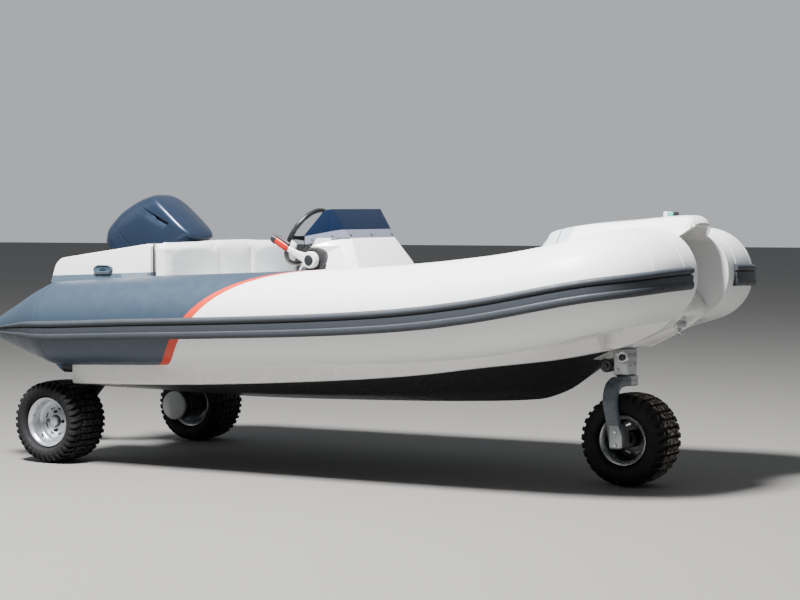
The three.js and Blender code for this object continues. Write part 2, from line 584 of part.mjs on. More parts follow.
// Cowl sections: z, aft x, fore x, half breadth
const PAN_SECTIONS = [[PAN_Z + GAP, -300, -10, 100], [106, -338, 50, 132], [130, -365, 110, 146]];
const COWL_SECTIONS = [
  [130 + GAP, -388, 114, 150], [190, -412, 118, 158], [300, -400, 120, 160], [400, -366, 122, 156],
  [470, -333, 122, 148], [520, -296, 118, 138], [545, -262, 100, 120], [565, -185, 75, 90],
  [585, -100, 45, 60], [598, -50, 10, 30],
];
const roundBody = (sections) => loft(sections.map(([z, aft, fore, half]) => roundRing(aft, fore, half, z)));
piece("motor_pan", roundBody(PAN_SECTIONS), SLATE, motor);
piece("cowl", roundBody(COWL_SECTIONS), COWL, motor);

export default boat;
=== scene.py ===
# %% [markdown]
# An amphibious rigid inflatable boat, parked on three wheels. This lesson dresses a packed
# construction model: every piece lies in the model's own frame, in metres, with +X to the bow,
# +Y to port and +Z up. Pieces that only need a better surface keep their solid, and pieces
# that need a finer shape are built again in the same place and stand for it.

# %% Load the frame
import json
import math
from contextlib import contextmanager

import bmesh
import bpy
import numpy as np
from mathutils import Matrix, Vector

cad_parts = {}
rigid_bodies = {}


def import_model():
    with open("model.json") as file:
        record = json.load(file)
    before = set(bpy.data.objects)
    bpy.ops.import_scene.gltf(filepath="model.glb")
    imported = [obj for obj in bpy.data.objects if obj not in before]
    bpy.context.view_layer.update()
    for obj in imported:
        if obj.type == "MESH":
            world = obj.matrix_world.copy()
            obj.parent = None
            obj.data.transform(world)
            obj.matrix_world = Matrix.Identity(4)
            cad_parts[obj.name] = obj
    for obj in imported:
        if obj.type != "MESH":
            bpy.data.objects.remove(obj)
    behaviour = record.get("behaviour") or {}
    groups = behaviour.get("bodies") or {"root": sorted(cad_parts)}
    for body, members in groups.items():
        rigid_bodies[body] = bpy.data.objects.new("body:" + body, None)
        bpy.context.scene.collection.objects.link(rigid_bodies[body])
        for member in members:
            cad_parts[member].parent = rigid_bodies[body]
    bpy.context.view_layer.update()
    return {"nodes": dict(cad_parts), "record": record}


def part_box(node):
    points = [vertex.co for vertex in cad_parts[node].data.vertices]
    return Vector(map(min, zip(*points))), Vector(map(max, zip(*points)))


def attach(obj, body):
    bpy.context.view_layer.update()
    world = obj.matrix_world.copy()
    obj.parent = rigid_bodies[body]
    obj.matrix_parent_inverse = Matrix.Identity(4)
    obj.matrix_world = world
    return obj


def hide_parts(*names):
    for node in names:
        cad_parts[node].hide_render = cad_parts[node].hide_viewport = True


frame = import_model()

REAR_AXLE_X = -1.4957
SIDES = (("starboard", -1), ("port", 1))


def from_axle(metres):
    """A place along the boat, given from the rear axle."""
    return metres + REAR_AXLE_X


def at(metres, y, z):
    """A point, whose place along the boat is given from the rear axle."""
    return Vector((metres + REAR_AXLE_X, y, z))


# %% [markdown]
# The camera stands where the photographer stood: ahead of the starboard beam, a little above
# the boat, with a long lens. A camera matrix from three directions is exact, while a
# track-to constraint would leave the small roll out.

# %% Camera
CAMERA_PLACE = Vector((6.3209, -9.6994, 1.4018))
CAMERA_TURN = math.radians(31.679)
CAMERA_DROP = math.radians(2.47)
CAMERA_ROLL = math.radians(-0.222)
CAMERA_LENS = 95.46

forward = Vector((-math.sin(CAMERA_TURN) * math.cos(CAMERA_DROP),
                  math.cos(CAMERA_TURN) * math.cos(CAMERA_DROP), -math.sin(CAMERA_DROP)))
level = Vector((math.cos(CAMERA_TURN), math.sin(CAMERA_TURN), 0))
raised = level.cross(forward)
right = level * math.cos(CAMERA_ROLL) + raised * math.sin(CAMERA_ROLL)
upward = raised * math.cos(CAMERA_ROLL) - level * math.sin(CAMERA_ROLL)
lens = bpy.data.cameras.new("camera")
lens.lens = CAMERA_LENS
lens.sensor_width = 36
camera = bpy.data.objects.new("camera", lens)
camera.matrix_world = Matrix((right, upward, -forward)).transposed().to_4x4()
camera.location = CAMERA_PLACE
bpy.context.scene.collection.objects.link(camera)
bpy.context.scene.camera = camera
print("camera at", [round(value, 2) for value in CAMERA_PLACE], "lens", CAMERA_LENS, "mm")

# %% [markdown]
# A studio stands in for the open air: a grey floor, a sky that is bright behind the boat and
# dim on the viewer's side, and two soft square lamps. The key lamp stands high to starboard,
# so the tubes' tops are bright and their undersides stay grey, as they are under a high sun.

# %% Floor and lights
FLOOR_REACH = 60
FLOOR_GREY = (0.175, 0.17, 0.162)
SKY_COLOUR = (0.86, 0.9, 0.95, 1)
SKY_TOWARDS = (-0.5252, 0.851, 0)        # the bright side, behind the boat
SKY_DIM, SKY_BRIGHT = 0.07, 0.56
LAMPS = {  # place, target, size, power
    "key": ((0.5, -5.0, 9.2), (0, 0, 0.6), 2.0, 5600),
    "stern": ((-8.0, -4.0, 5.0), (-1, 0, 0.6), 4.0, 40)}

floor_mesh = bpy.data.meshes.new("floor")
corners = [(x * FLOOR_REACH, y * FLOOR_REACH, 0) for x, y in ((-1, -1), (1, -1), (1, 1), (-1, 1))]
floor_mesh.from_pydata(corners, [], [(0, 1, 2, 3)])
floor = bpy.data.objects.new("floor", floor_mesh)
bpy.context.scene.collection.objects.link(floor)

world = bpy.data.worlds.new("studio")
world.use_nodes = True
sky = world.node_tree.nodes
sky["Background"].inputs["Color"].default_value = SKY_COLOUR
towards = sky.new("ShaderNodeVectorMath")
towards.operation = "DOT_PRODUCT"
towards.inputs[1].default_value = SKY_TOWARDS
strength = sky.new("ShaderNodeMapRange")
for socket, value in (("From Min", -1), ("From Max", 1), ("To Min", SKY_DIM),
                      ("To Max", SKY_BRIGHT)):
    strength.inputs[socket].default_value = value
world.node_tree.links.new(sky.new("ShaderNodeTexCoord").outputs["Generated"], towards.inputs[0])
world.node_tree.links.new(towards.outputs["Value"], strength.inputs["Value"])
world.node_tree.links.new(strength.outputs["Result"], sky["Background"].inputs["Strength"])
bpy.context.scene.world = world

for name, (place, target, size, power) in LAMPS.items():
    data = bpy.data.lights.new(name, "AREA")
    data.size, data.energy = size, power
    lamp = bpy.data.objects.new(name, data)
    lamp.location = place
    lamp.rotation_euler = (Vector(target) - Vector(place)).to_track_quat("-Z", "Y").to_euler()
    bpy.context.scene.collection.objects.link(lamp)
print("lamps", list(LAMPS))

# %% [markdown]
# Materials are built from nodes. Writing shader maths as long lists of links is hard to read,
# so a small class wraps a socket and lets Python's own operators add Math nodes. Colours go
# through Mix nodes, because a Math node would turn them grey.


# %% Shader maths
class Number:
    """A number socket that does its arithmetic in Math nodes."""

    def __init__(self, finish, socket):
        self.finish, self.socket = finish, socket

    def maths(self, operation, *others):
        values = {i: value for i, value in enumerate((self, *others))}
        return self.finish.node("ShaderNodeMath", {"operation": operation}, values)

    def __add__(self, other):
        return self.maths("ADD", other)

    def __sub__(self, other):
        return self.maths("SUBTRACT", other)

    def __mul__(self, other):
        return self.maths("MULTIPLY", other)

    def __truediv__(self, other):
        return self.maths("DIVIDE", other)

    def __pow__(self, other):
        return self.maths("POWER", other)

    def __abs__(self):
        return self.maths("ABSOLUTE")

    def below(self, limit, soft=0.001):
        """1 where this is under a limit, 0 over it, with a soft step of that width."""
        return self.step(limit + soft, limit - soft)

    def above(self, limit, soft=0.001):
        return self.step(limit - soft, limit + soft)

    def step(self, start, end):
        """A smooth rise from 0 at start to 1 at end."""
        return self.finish.node("ShaderNodeMapRange", {"interpolation_type": "SMOOTHSTEP"},
                                {"Value": self, "From Min": start, "From Max": end})


print("shader numbers ready")

# %% [markdown]
# A finish keeps one material with its node tree. Its methods add the nodes that the finishes
# here share: noise, uneven roughness, a colour mix and a bump.

# %% Finish
class Finish:
    """One procedural material, with a Principled shader at its end."""

    def __init__(self, name, colour=(0.8, 0.8, 0.8), **sockets):
        self.material = bpy.data.materials.new(name)
        self.material.use_nodes = True
        self.material.diffuse_color = (*colour, 1)
        self.tree = self.material.node_tree
        self.shader = self.tree.nodes["Principled BSDF"]
        self.set("Base Color", (*colour, 1))
        for socket, value in sockets.items():
            self.set(socket.replace("_", " ").title(), value)

    def node(self, kind, settings=None, inputs=None, output=0):
        """One node: its type, its settings, then the values or links of its sockets."""
        made = self.tree.nodes.new(kind)
        for name, value in (settings or {}).items():
            setattr(made, name, value)
        for name, value in (inputs or {}).items():
            self.feed(made.inputs[name], value)
        return Number(self, made.outputs[output])

    def feed(self, socket, value):
        if isinstance(value, Number):
            self.tree.links.new(value.socket, socket)
        elif isinstance(value, tuple) and len(value) == 3 and len(socket.default_value) == 4:
            socket.default_value = (*value, 1)
        else:
            socket.default_value = value

    def set(self, socket, value):
        self.feed(self.shader.inputs[socket], value)

    def mix(self, share, first, second):
        """first where share is 0, second where it is 1, as a colour."""
        return self.node("ShaderNodeMix", {"data_type": "RGBA"},
                         {0: share, 6: first, 7: second}, 2)

    def place(self):
        """Object coordinates, as three numbers."""
        return self.split(self.node("ShaderNodeTexCoord", output="Object"))

    def split(self, vector):
        return tuple(self.node("ShaderNodeSeparateXYZ", None, {0: vector}, i) for i in range(3))

    def along(self):
        """The piece's own UV map: metres along it and metres round it."""
        u, v, _ = self.split(self.node("ShaderNodeUVMap", {"uv_map": "along"}))
        return u, v

    def vector(self, x, y, z):
        return self.node("ShaderNodeCombineXYZ", None, {0: x, 1: y, 2: z})

    def noise(self, scale, detail, rough=0.5, vector=None):
        source = vector or self.node("ShaderNodeTexCoord", output="Object")
        return self.node("ShaderNodeTexNoise", None,
                         {"Vector": source, "Scale": scale, "Detail": detail, "Roughness": rough})

    def patchy(self, scale, detail, start, end, low, high):
        """Noise that is low where it lies under start and high where it lies over end."""
        return self.noise(scale, detail).step(start, end) * (high - low) + low

    def bump(self, height, depth, strength):
        """A bump of so many metres from a height of 0 to 1."""
        self.set("Normal", self.node("ShaderNodeBump", None,
                 {"Strength": strength, "Distance": depth, "Height": height}))


print("finish helper ready")

# %% [markdown]
# The tubes are a coated fabric with a fine weave under a satin skin. White runs forward and
# slate runs aft, with an orange band between them that sweeps up and over the tube. The
# band's middle is a cubic of the angle round the tube, so it is worked out in the shader from
# the tube's own UV map, and no picture is needed.

# %% Tube and trim finishes
TUBE_RADIUS = 0.245
BAND_START = from_axle(1.118)            # the band's middle where it crosses the tube's side
BAND_TURN = (0.0040, 2.14e-5, 2.25e-7)   # metres per degree, per degree squared and cubed
BAND_HALF = 0.030
WEAVE_PITCH, WEAVE_DEPTH = 0.0011, 0.00006
WHITE_SKIN = (0.80, 0.81, 0.82)
SLATE_SKIN = (0.027, 0.044, 0.068)
ORANGE_SKIN = (0.56, 0.034, 0.010)
GRIME = (0.45, 0.43, 0.39)
WHITE_GEL, WHITE_GEL_SHADE = (0.82, 0.82, 0.80), (0.62, 0.61, 0.58)


def shaded(colour, factor):
    return tuple(value * factor for value in colour)


def tube_finish():
    made = Finish("tube fabric", roughness=0.42)
    u, v = made.along()
    degrees = v / TUBE_RADIUS * (180 / math.pi)
    first, second, third = BAND_TURN
    middle = degrees * first + degrees ** 2 * second + degrees ** 3 * third + BAND_START
    from_band = u - middle
    colour = made.mix(from_band.above(-BAND_HALF), SLATE_SKIN, ORANGE_SKIN)
    colour = made.mix(from_band.above(BAND_HALF), colour, WHITE_SKIN)
    made.set("Base Color", made.mix(made.noise(3.0, 6).step(0.62, 0.9) * 0.10, colour, GRIME))
    made.set("Roughness", made.patchy(18, 5, 0.3, 0.7, 0.38, 0.48))
    warp, weft = ((way / WEAVE_PITCH).maths("SINE") for way in (u, v))
    made.bump(warp * weft * 0.5 + 0.5, WEAVE_DEPTH, 0.5)
    return made.material


print("orange band", round(BAND_HALF * 2, 3), "m wide")

# %% [markdown]
# Rubber, paint and plastic are uneven in the same three ways: patches of another colour, a
# roughness that wanders, and a fine grain. One helper makes them all. Metal has the fine
# lines of brushing instead of a grain.

# %% Rubber, paint, plastic and metal
def patchy_finish(name, colour, patches, rough, grain, **sockets):
    """Patches of another colour (scale, detail, share, colour), uneven roughness and a bump."""
    made = Finish(name, colour, **sockets)
    *pattern, share, other = patches
    made.set("Base Color", made.mix(made.noise(*pattern) * share, colour, other))
    made.set("Roughness", made.patchy(*rough))
    *pattern, depth, strength = grain
    made.bump(made.noise(*pattern), depth, strength)
    return made.material


def rubber_finish(name, colour, low, high):
    return patchy_finish(name, colour, (9, 6, 0.35, shaded(colour, 1.7)),
                         (40, 4, 0.3, 0.7, low, high), (900, 2, 0.00008, 0.35))


def paint_finish(name, colour, flake=0.0, coat=0.6, low=0.24, high=0.42):
    """Two-coat paint, with fine metal flake if wanted."""
    return patchy_finish(name, colour, (4, 6, 0.3, shaded(colour, 0.75)),
                         (45, 5, 0.3, 0.7, low, high), (500, 2, 0.0001, 0.15),
                         coat_weight=coat, coat_roughness=0.07, metallic=flake)


def plastic_finish(name, colour, rough):
    paler = tuple(value * 1.6 + 0.004 for value in colour)
    return patchy_finish(name, colour, (12, 5, 0.4, paler),
                         (60, 4, 0.3, 0.7, rough - 0.07, rough + 0.07), (1400, 1, 0.00012, 0.4))


def metal_finish(name, colour, low, high, metallic=1.0, brushed=0.0):
    made = Finish(name, colour, metallic=metallic)
    x, y, z = made.place()
    grain = made.noise(30, 4, vector=made.vector(x * 3, y * 60, z * 3))
    made.set("Base Color", made.mix(made.noise(6, 6) * 0.4, colour, shaded(colour, 0.7)))
    made.set("Roughness", made.patchy(22, 5, 0.3, 0.75, low, high))
    made.bump(grain, 0.0002 + brushed * 0.0006, 0.12 + brushed * 0.3)
    return made.material


print("patchy finishes ready")

# %% [markdown]
# Gelcoat is the hard, glossy skin that a moulding takes from its mould. It is smooth, with
# a faint orange-peel, and dirt lies on it in soft patches.

# %% Gelcoat and the shared finishes
def gelcoat_finish(name, colour, shade=None, second=None, where=None, low=0.2):
    """Sprayed gelcoat: very smooth, with a faint orange-peel and a little dirt.

    A second colour shows where a function of x says so.
    """
    made = Finish(name, colour, coat_weight=0.35, coat_roughness=0.08)
    if shade:
        colour = made.mix(made.noise(2.2, 7).step(0.45, 0.95) * 0.22, colour, shade)
    if second:
        colour = made.mix(where(made.place()[0]), colour, second)
    made.set("Base Color", colour)
    made.set("Roughness", made.patchy(14, 5, 0.25, 0.8, low, low + 0.12))
    made.bump(made.noise(160, 2), 0.0004, 0.18)
    return made.material


def floor_finish():
    made = Finish("studio floor", (0.5, 0.5, 0.5), roughness=0.9)
    made.set("Base Color", made.mix(made.noise(0.8, 3) * 0.3, FLOOR_GREY, shaded(FLOOR_GREY, 0.96)))
    return made.material


TUBE_FABRIC = tube_finish()
STRAKE_RUBBER = rubber_finish("strake rubber", (0.025, 0.030, 0.038), 0.5, 0.68)
GELCOAT = gelcoat_finish("white gelcoat", WHITE_GEL, WHITE_GEL_SHADE)
GELCOAT_GREY = gelcoat_finish("grey gelcoat", (0.56, 0.57, 0.58), (0.42, 0.42, 0.41))
BOTTOM_BLACK = paint_finish("bottom paint", (0.012, 0.012, 0.014), coat=0.15, low=0.35, high=0.55)
STAINLESS = metal_finish("stainless steel", (0.66, 0.66, 0.67), 0.16, 0.3, brushed=0.4)
ALLOY = metal_finish("anodised alloy", (0.47, 0.49, 0.5), 0.34, 0.5, metallic=0.85)
RIM_SILVER = metal_finish("rim silver", (0.62, 0.64, 0.67), 0.24, 0.4, metallic=0.85)
LEG_SLATE = paint_finish("leg paint", (0.078, 0.098, 0.118), coat=0.4)
COWL_BLUE = paint_finish("cowl paint", (0.018, 0.031, 0.060),
                         flake=0.5, coat=0.25, low=0.32, high=0.4)
BLACK_PLASTIC = plastic_finish("black plastic", (0.014, 0.014, 0.016), 0.48)
floor.data.materials.append(floor_finish())
print("finishes", len(bpy.data.materials))

# %% [markdown]
# Every piece ends the same way: it gets its finish, a sharp-edge angle, and the body of the
# construction node that it stands for. Reading the body from the packed record means that no
# piece can be left behind when a joint moves.

# %% Mesh helpers
record = frame["record"]
NODE_BODY = {node: body for body, nodes in record["behaviour"]["bodies"].items() for node in nodes}
SMOOTH_UNDER = math.radians(38)


def link(name, mesh):
    made = bpy.data.objects.new(name, mesh)
    bpy.context.scene.collection.objects.link(made)
    return made


def complete(made, materials, node, stands_for=(), smooth=SMOOTH_UNDER):
    """Finish, edge angle and body of one piece that belongs with a node."""
    if materials:
        made.data.materials.clear()
        for material in materials:
            made.data.materials.append(material)
    made.data.shade_smooth()
    made.data.set_sharp_from_angle(angle=smooth)
    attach(made, NODE_BODY[node])
    if stands_for:
        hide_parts(*stands_for)
    return made


def piece(name, mesh, material, node, *stands_for, smooth=SMOOTH_UNDER):
    """A mesh with one finish, made into a piece that belongs with a node."""
    return complete(link(name, mesh), [material], node, stands_for, smooth)


# %% [markdown]
# Most forms here are lofts: rings of points, all with the same count, joined by faces. A
# turned body is a loft too, whose rings are one profile at many angles round the axis.

# %% Lofts and turned bodies
def mesh_from(name, points, faces, uv=None):
    mesh = bpy.data.meshes.new(name)
    mesh.from_pydata([tuple(point) for point in points], [], faces)
    if uv is not None:
        layer = mesh.uv_layers.new(name="along")
        for loop in mesh.loops:
            layer.data[loop.index].uv = uv[loop.vertex_index]
    mesh.validate()
    return mesh


@contextmanager
def bmesh_of(mesh):
    """A mesh opened for editing, and written back at the end."""
    bm = bmesh.new()
    bm.from_mesh(mesh)
    yield bm
    bm.to_mesh(mesh)
    bm.free()


def outward(mesh):
    """Merges doubles and turns every face outwards."""
    with bmesh_of(mesh) as bm:
        bmesh.ops.remove_doubles(bm, verts=bm.verts, dist=1e-6)
        bmesh.ops.recalc_face_normals(bm, faces=bm.faces)
    return mesh


def loft(name, rings, close_rings=False, uv=None):
    """A closed body through rings of equal count."""
    count = len(rings[0])
    spans = len(rings) if close_rings else len(rings) - 1
    faces = []
    for k in range(spans):
        here, there = k * count, (k + 1) % len(rings) * count
        faces += [(here + i, here + (i + 1) % count, there + (i + 1) % count, there + i)
                  for i in range(count)]
    if not close_rings:
        faces += [tuple(reversed(range(count))),
                  tuple(range((len(rings) - 1) * count, len(rings) * count))]
    return outward(mesh_from(name, [point for ring in rings for point in ring], faces, uv))


def circle(radius, steps, z=0.0):
    """Points round the Z axis at one height."""
    turns = [2 * math.pi * k / steps for k in range(steps)]
    return [Vector((radius * math.cos(turn), radius * math.sin(turn), z)) for turn in turns]


def revolve(name, profile, centre, axis="Y", steps=64):
    """A closed profile of (radius, place along the axis), turned about a centre."""
    place = {"Y": lambda r, s, a: (r * math.cos(a), s, r * math.sin(a)),
             "X": lambda r, s, a: (s, r * math.cos(a), r * math.sin(a)),
             "Z": lambda r, s, a: (r * math.cos(a), r * math.sin(a), s)}[axis]
    rings = []
    for k in range(steps):
        angle = 2 * math.pi * k / steps
        rings.append([Vector(centre) + Vector(place(r, s, angle)) for r, s in profile])
    return loft(name, rings, close_rings=True)


print("loft helpers ready")

# %% [markdown]
# Where a solid already has the right form, the piece starts from the solid itself. Its
# triangles are merged back into flat faces, and a real bevel rounds its edges.

# %% Dressed solids
def baked(made):
    """The piece with its modifiers worked into the mesh."""
    graph = bpy.context.evaluated_depsgraph_get()
    old = made.data
    made.data = bpy.data.meshes.new_from_object(made.evaluated_get(graph))
    made.modifiers.clear()
    bpy.data.meshes.remove(old)
    return made


def bevel(made, width, segments=3, angle=30):
    edge = made.modifiers.new("bevel", "BEVEL")
    edge.width, edge.segments = width, segments
    edge.limit_method = "ANGLE"
    edge.angle_limit = math.radians(angle)
    return baked(made)


def merged_copy(node):
    """A node's own shape as a clean mesh, with its flat faces whole again."""
    bm = bmesh.new()
    bm.from_mesh(frame["nodes"][node].data)
    bmesh.ops.remove_doubles(bm, verts=bm.verts, dist=2e-5)
    bmesh.ops.dissolve_limit(bm, angle_limit=math.radians(1), verts=bm.verts, edges=bm.edges)
    mesh = bpy.data.meshes.new(node)
    bm.to_mesh(mesh)
    bm.free()
    return mesh


def dress(node, material, width, segments=3, angle=30, mesh=None):
    """A node's shape, or a mesh made from it, with rounded edges and a new finish."""
    made = bevel(link(node + "_shell", mesh or merged_copy(node)), width, segments, angle)
    return complete(made, [material], node, (node,))


print("bevel helpers ready")

# %% [markdown]
# Some sections change smoothly along a body. Their sizes stand in a short table, and a
# monotone cubic carries each column from row to row, so no form overshoots its table.

# %% Smooth tables
def smooth_through(table, places):
    """Each column of a table carried smoothly through its rows, by monotone cubic steps."""
    rows = np.array(table, float)
    x, y = rows[:, 0], rows[:, 1:]
    step = np.diff(x)[:, None]
    slope = np.diff(y, axis=0) / step
    tangent = np.zeros_like(y)
    tangent[0], tangent[-1] = slope[0], slope[-1]
    same = slope[:-1] * slope[1:] > 0
    with np.errstate(divide="ignore", invalid="ignore"):
        harmonic = 2 / (1 / slope[:-1] + 1 / slope[1:])
    tangent[1:-1] = np.where(same, harmonic, 0)
    result = []
    for place in places:
        k = int(np.clip(np.searchsorted(x, place) - 1, 0, len(x) - 2))
        h = x[k + 1] - x[k]
        t = (place - x[k]) / h
        result.append(y[k] * (1 + 2 * t) * (1 - t) ** 2 + tangent[k] * h * t * (1 - t) ** 2
                      + y[k + 1] * t * t * (3 - 2 * t) + tangent[k + 1] * h * t * t * (t - 1))
    return np.array(result)


print("table helper ready")

# %% [markdown]
# Two small Geometry Nodes trees make whatever repeats. One turns copies of a piece round an
# axis, as nuts and tyre blocks are. The other sets copies on chosen points, each facing its
# own way, as screws are. Both end in real meshes, because instances are lost on export.


# %% Geometry Nodes helpers
class Recipe:
    """A Geometry Nodes tree with named inputs."""

    def __init__(self, name, inputs):
        self.tree = bpy.data.node_groups.new(name, "GeometryNodeTree")
        make = self.tree.interface.new_socket
        make("Geometry", in_out="INPUT", socket_type="NodeSocketGeometry")
        for title, kind in inputs.items():
            make(title, in_out="INPUT", socket_type="NodeSocket" + kind)
        make("Geometry", in_out="OUTPUT", socket_type="NodeSocketGeometry")
        self.entry = self.tree.nodes.new("NodeGroupInput")

    def node(self, kind, settings=None, inputs=None, output=0):
        made = self.tree.nodes.new(kind)
        for name, value in (settings or {}).items():
            setattr(made, name, value)
        for name, value in (inputs or {}).items():
            if isinstance(value, bpy.types.NodeSocket):
                self.tree.links.new(value, made.inputs[name])
            else:
                made.inputs[name].default_value = value
        return made.outputs[output]

    def finish(self, geometry):
        solid = self.node("GeometryNodeRealizeInstances", None, {0: geometry})
        painted = self.node("GeometryNodeSetMaterial", None,
                            {"Geometry": solid, "Material": self.entry.outputs["Material"]})
        leave = self.tree.nodes.new("NodeGroupOutput")
        self.tree.links.new(painted, leave.inputs[0])

    def run(self, made, **values):
        """Puts the tree on a piece, works it in and takes the modifier off again."""
        step = made.modifiers.new("recipe", "NODES")
        step.node_group = self.tree
        names = {item.name: item.identifier for item in self.tree.interface.items_tree
                 if item.in_out == "INPUT"}
        for title, value in values.items():
            step[names[title.replace("_", " ").capitalize()]] = value
        return baked(made)


print("recipe helper ready")

# %% [markdown]
# The first tree puts every copy on one spot, the centre, and turns it by its number times
# the pitch. The piece is first moved so that the centre lies at the origin, and so each copy
# keeps its distance from the axis.

# %% Copies round an axis
round_axis = Recipe("copies round an axis", {"Count": "Int", "Axis": "Vector",
                                             "Centre": "Vector", "Material": "Material"})
entry = round_axis.entry.outputs
moved = round_axis.node("GeometryNodeTransform", None, {
    "Geometry": entry["Geometry"],
    "Translation": round_axis.node("ShaderNodeVectorMath", {"operation": "SCALE"},
                                   {0: entry["Centre"], "Scale": -1.0})})
spots = round_axis.node("GeometryNodeMeshLine", None,
                        {"Count": entry["Count"], "Start Location": entry["Centre"],
                         "Offset": (0, 0, 0)})
pitch = round_axis.node("ShaderNodeMath", {"operation": "DIVIDE"},
                        {0: 2 * math.pi, 1: entry["Count"]})
angle = round_axis.node("ShaderNodeMath", {"operation": "MULTIPLY"},
                        {0: round_axis.node("GeometryNodeInputIndex"), 1: pitch})
turned = round_axis.node("FunctionNodeAxisAngleToRotation", None,
                         {"Axis": entry["Axis"], "Angle": angle})
round_axis.finish(round_axis.node("GeometryNodeInstanceOnPoints", None,
                                  {"Points": spots, "Instance": moved, "Rotation": turned}))
print("recipe", round_axis.tree.name)

# %% [markdown]
# The second tree takes a mesh of loose points. Each point carries a direction, and the copy
# that stands on it is turned to face that way.

# %% Copies on points
on_points = Recipe("copies on points", {"Template": "Object", "Material": "Material"})
entry = on_points.entry.outputs
facing = on_points.node("GeometryNodeInputNamedAttribute", {"data_type": "FLOAT_VECTOR"},
                        {"Name": "facing"})
turned = on_points.node("FunctionNodeAlignRotationToVector", {"axis": "Z"}, {"Vector": facing})
template = on_points.node("GeometryNodeObjectInfo", None, {"Object": entry["Template"]}, "Geometry")
on_points.finish(on_points.node("GeometryNodeInstanceOnPoints", None,
                                {"Points": entry["Geometry"], "Instance": template,
                                 "Rotation": turned}))


def copies_round(made, count, centre, axis, material, node):
    round_axis.run(made, count=count, axis=Vector(axis), centre=Vector(centre), material=material)
    return complete(made, None, node)


def copies_on(name, template, places, material, node):
    """Copies of a template mesh at (point, direction) places; the template points along +Z."""
    mesh = bpy.data.meshes.new(name)
    mesh.from_pydata([tuple(point) for point, _ in places], [], [])
    facing_data = mesh.attributes.new("facing", "FLOAT_VECTOR", "POINT")
    for row, (_, direction) in zip(facing_data.data, places):
        row.vector = Vector(direction).normalized()
    made = link(name, mesh)
    source = link(name + "_template", template)
    on_points.run(made, template=source, material=material)
    bpy.data.objects.remove(source)
    return complete(made, None, node)


print("recipes", [tree.name for tree in bpy.data.node_groups])

# %% [markdown]
# Two fastenings come back all over the boat, so they are made once: a pan-head screw with a
# sunk drive, and a hexagon nut on its stud.

# %% Screws and nuts
def screw_head(radius, height):
    """A pan-head screw with a sunk drive, which stands on the ground and points up."""
    rows = [(1, -0.3), (1, 0.35), (0.72, 1), (0.3, 1), (0.26, 0.45)]
    return loft("screw", [circle(part * radius, 14, rise * height) for part, rise in rows])


def hex_nut(radius, height):
    """A hexagon nut on its stud, pointing up."""
    hexagon = [(math.cos(math.pi * k / 3), math.sin(math.pi * k / 3)) for k in range(6)]
    rings = [[(x * radius * part, y * radius * part, z) for x, y in hexagon]
             for part, z in ((1.0, -0.004), (1.0, 0.85 * height), (0.86, height), (0.52, height),
                             (0.5, 1.5 * height), (0.4, 1.6 * height))]
    return loft("nut", rings)


print("fastening helpers ready")

# %% [markdown]
# Each tube is one long inflated bag: a cone at the stern, a straight side that rises a little
# towards the bow, and a blunt corner that ends flat on the wall of the bow slot. A curve with
# a bevel would twist at the corner, so rings are placed along a formula instead. Their UV map
# holds metres along and round the tube, which the painted band and the weave follow.

# %% Tubes
HALF_BEAM = 0.97
BOW_START, BOW_LENGTH, BOW_POWER = from_axle(2.6), 1.046, 4
TUBE_BOW_RADIUS, TUBE_STERN_RADIUS = 0.235, 0.238
SLOT_HALF = 0.19
SIDE_START = 0.2                         # the cone ends here, from the axle
SIDE_HEIGHT, SIDE_RISE, BOW_RISE = 0.787, 0.118, 0.16
STERN_LOWER, STERN_SLIMMER, STERN_FADE = 0.005, 0.006, 0.5
STERN_CONE = [  # distance from the axle, radius, height of the middle
    (-0.375, 0.040, 0.750), (-0.350, 0.061, 0.745), (-0.222, 0.115, 0.756), (0.0, 0.204, 0.776),
    (0.075, 0.227, 0.779),
    (SIDE_START, TUBE_STERN_RADIUS - STERN_SLIMMER, SIDE_HEIGHT - STERN_LOWER)]
ROUND = 48


def share_of(x, reach, most=1):
    """How far x is along the straight side, as a share of a reach."""
    return min(max((x - from_axle(SIDE_START)) / reach, 0), most)


def tube_height(x):
    u, stern = share_of(x, 3.2, 2), 1 - share_of(x, STERN_FADE)
    return SIDE_HEIGHT + SIDE_RISE * u + BOW_RISE * u ** 6 - STERN_LOWER * stern


def side_radius(x):
    """The straight side's radius, which grows a little towards the bow."""
    grown = (TUBE_RADIUS - TUBE_STERN_RADIUS) * share_of(x, 2.2)
    return TUBE_STERN_RADIUS + grown - STERN_SLIMMER * (1 - share_of(x, STERN_FADE))


def bow_station(turn):
    """A point of the bow outline at an angle from the straight side, as a tube station."""
    u, v = (max(value, 0) ** (2 / BOW_POWER) for value in (math.sin(turn), math.cos(turn)))
    out = Vector((u ** (BOW_POWER - 1) / BOW_LENGTH, v ** (BOW_POWER - 1) / HALF_BEAM)).normalized()
    radius = TUBE_RADIUS + (TUBE_BOW_RADIUS - TUBE_RADIUS) * u
    x, y = BOW_START + BOW_LENGTH * u - radius * out.x, HALF_BEAM * v - radius * out.y
    return [x, y, tube_height(x), out.x, out.y, radius]


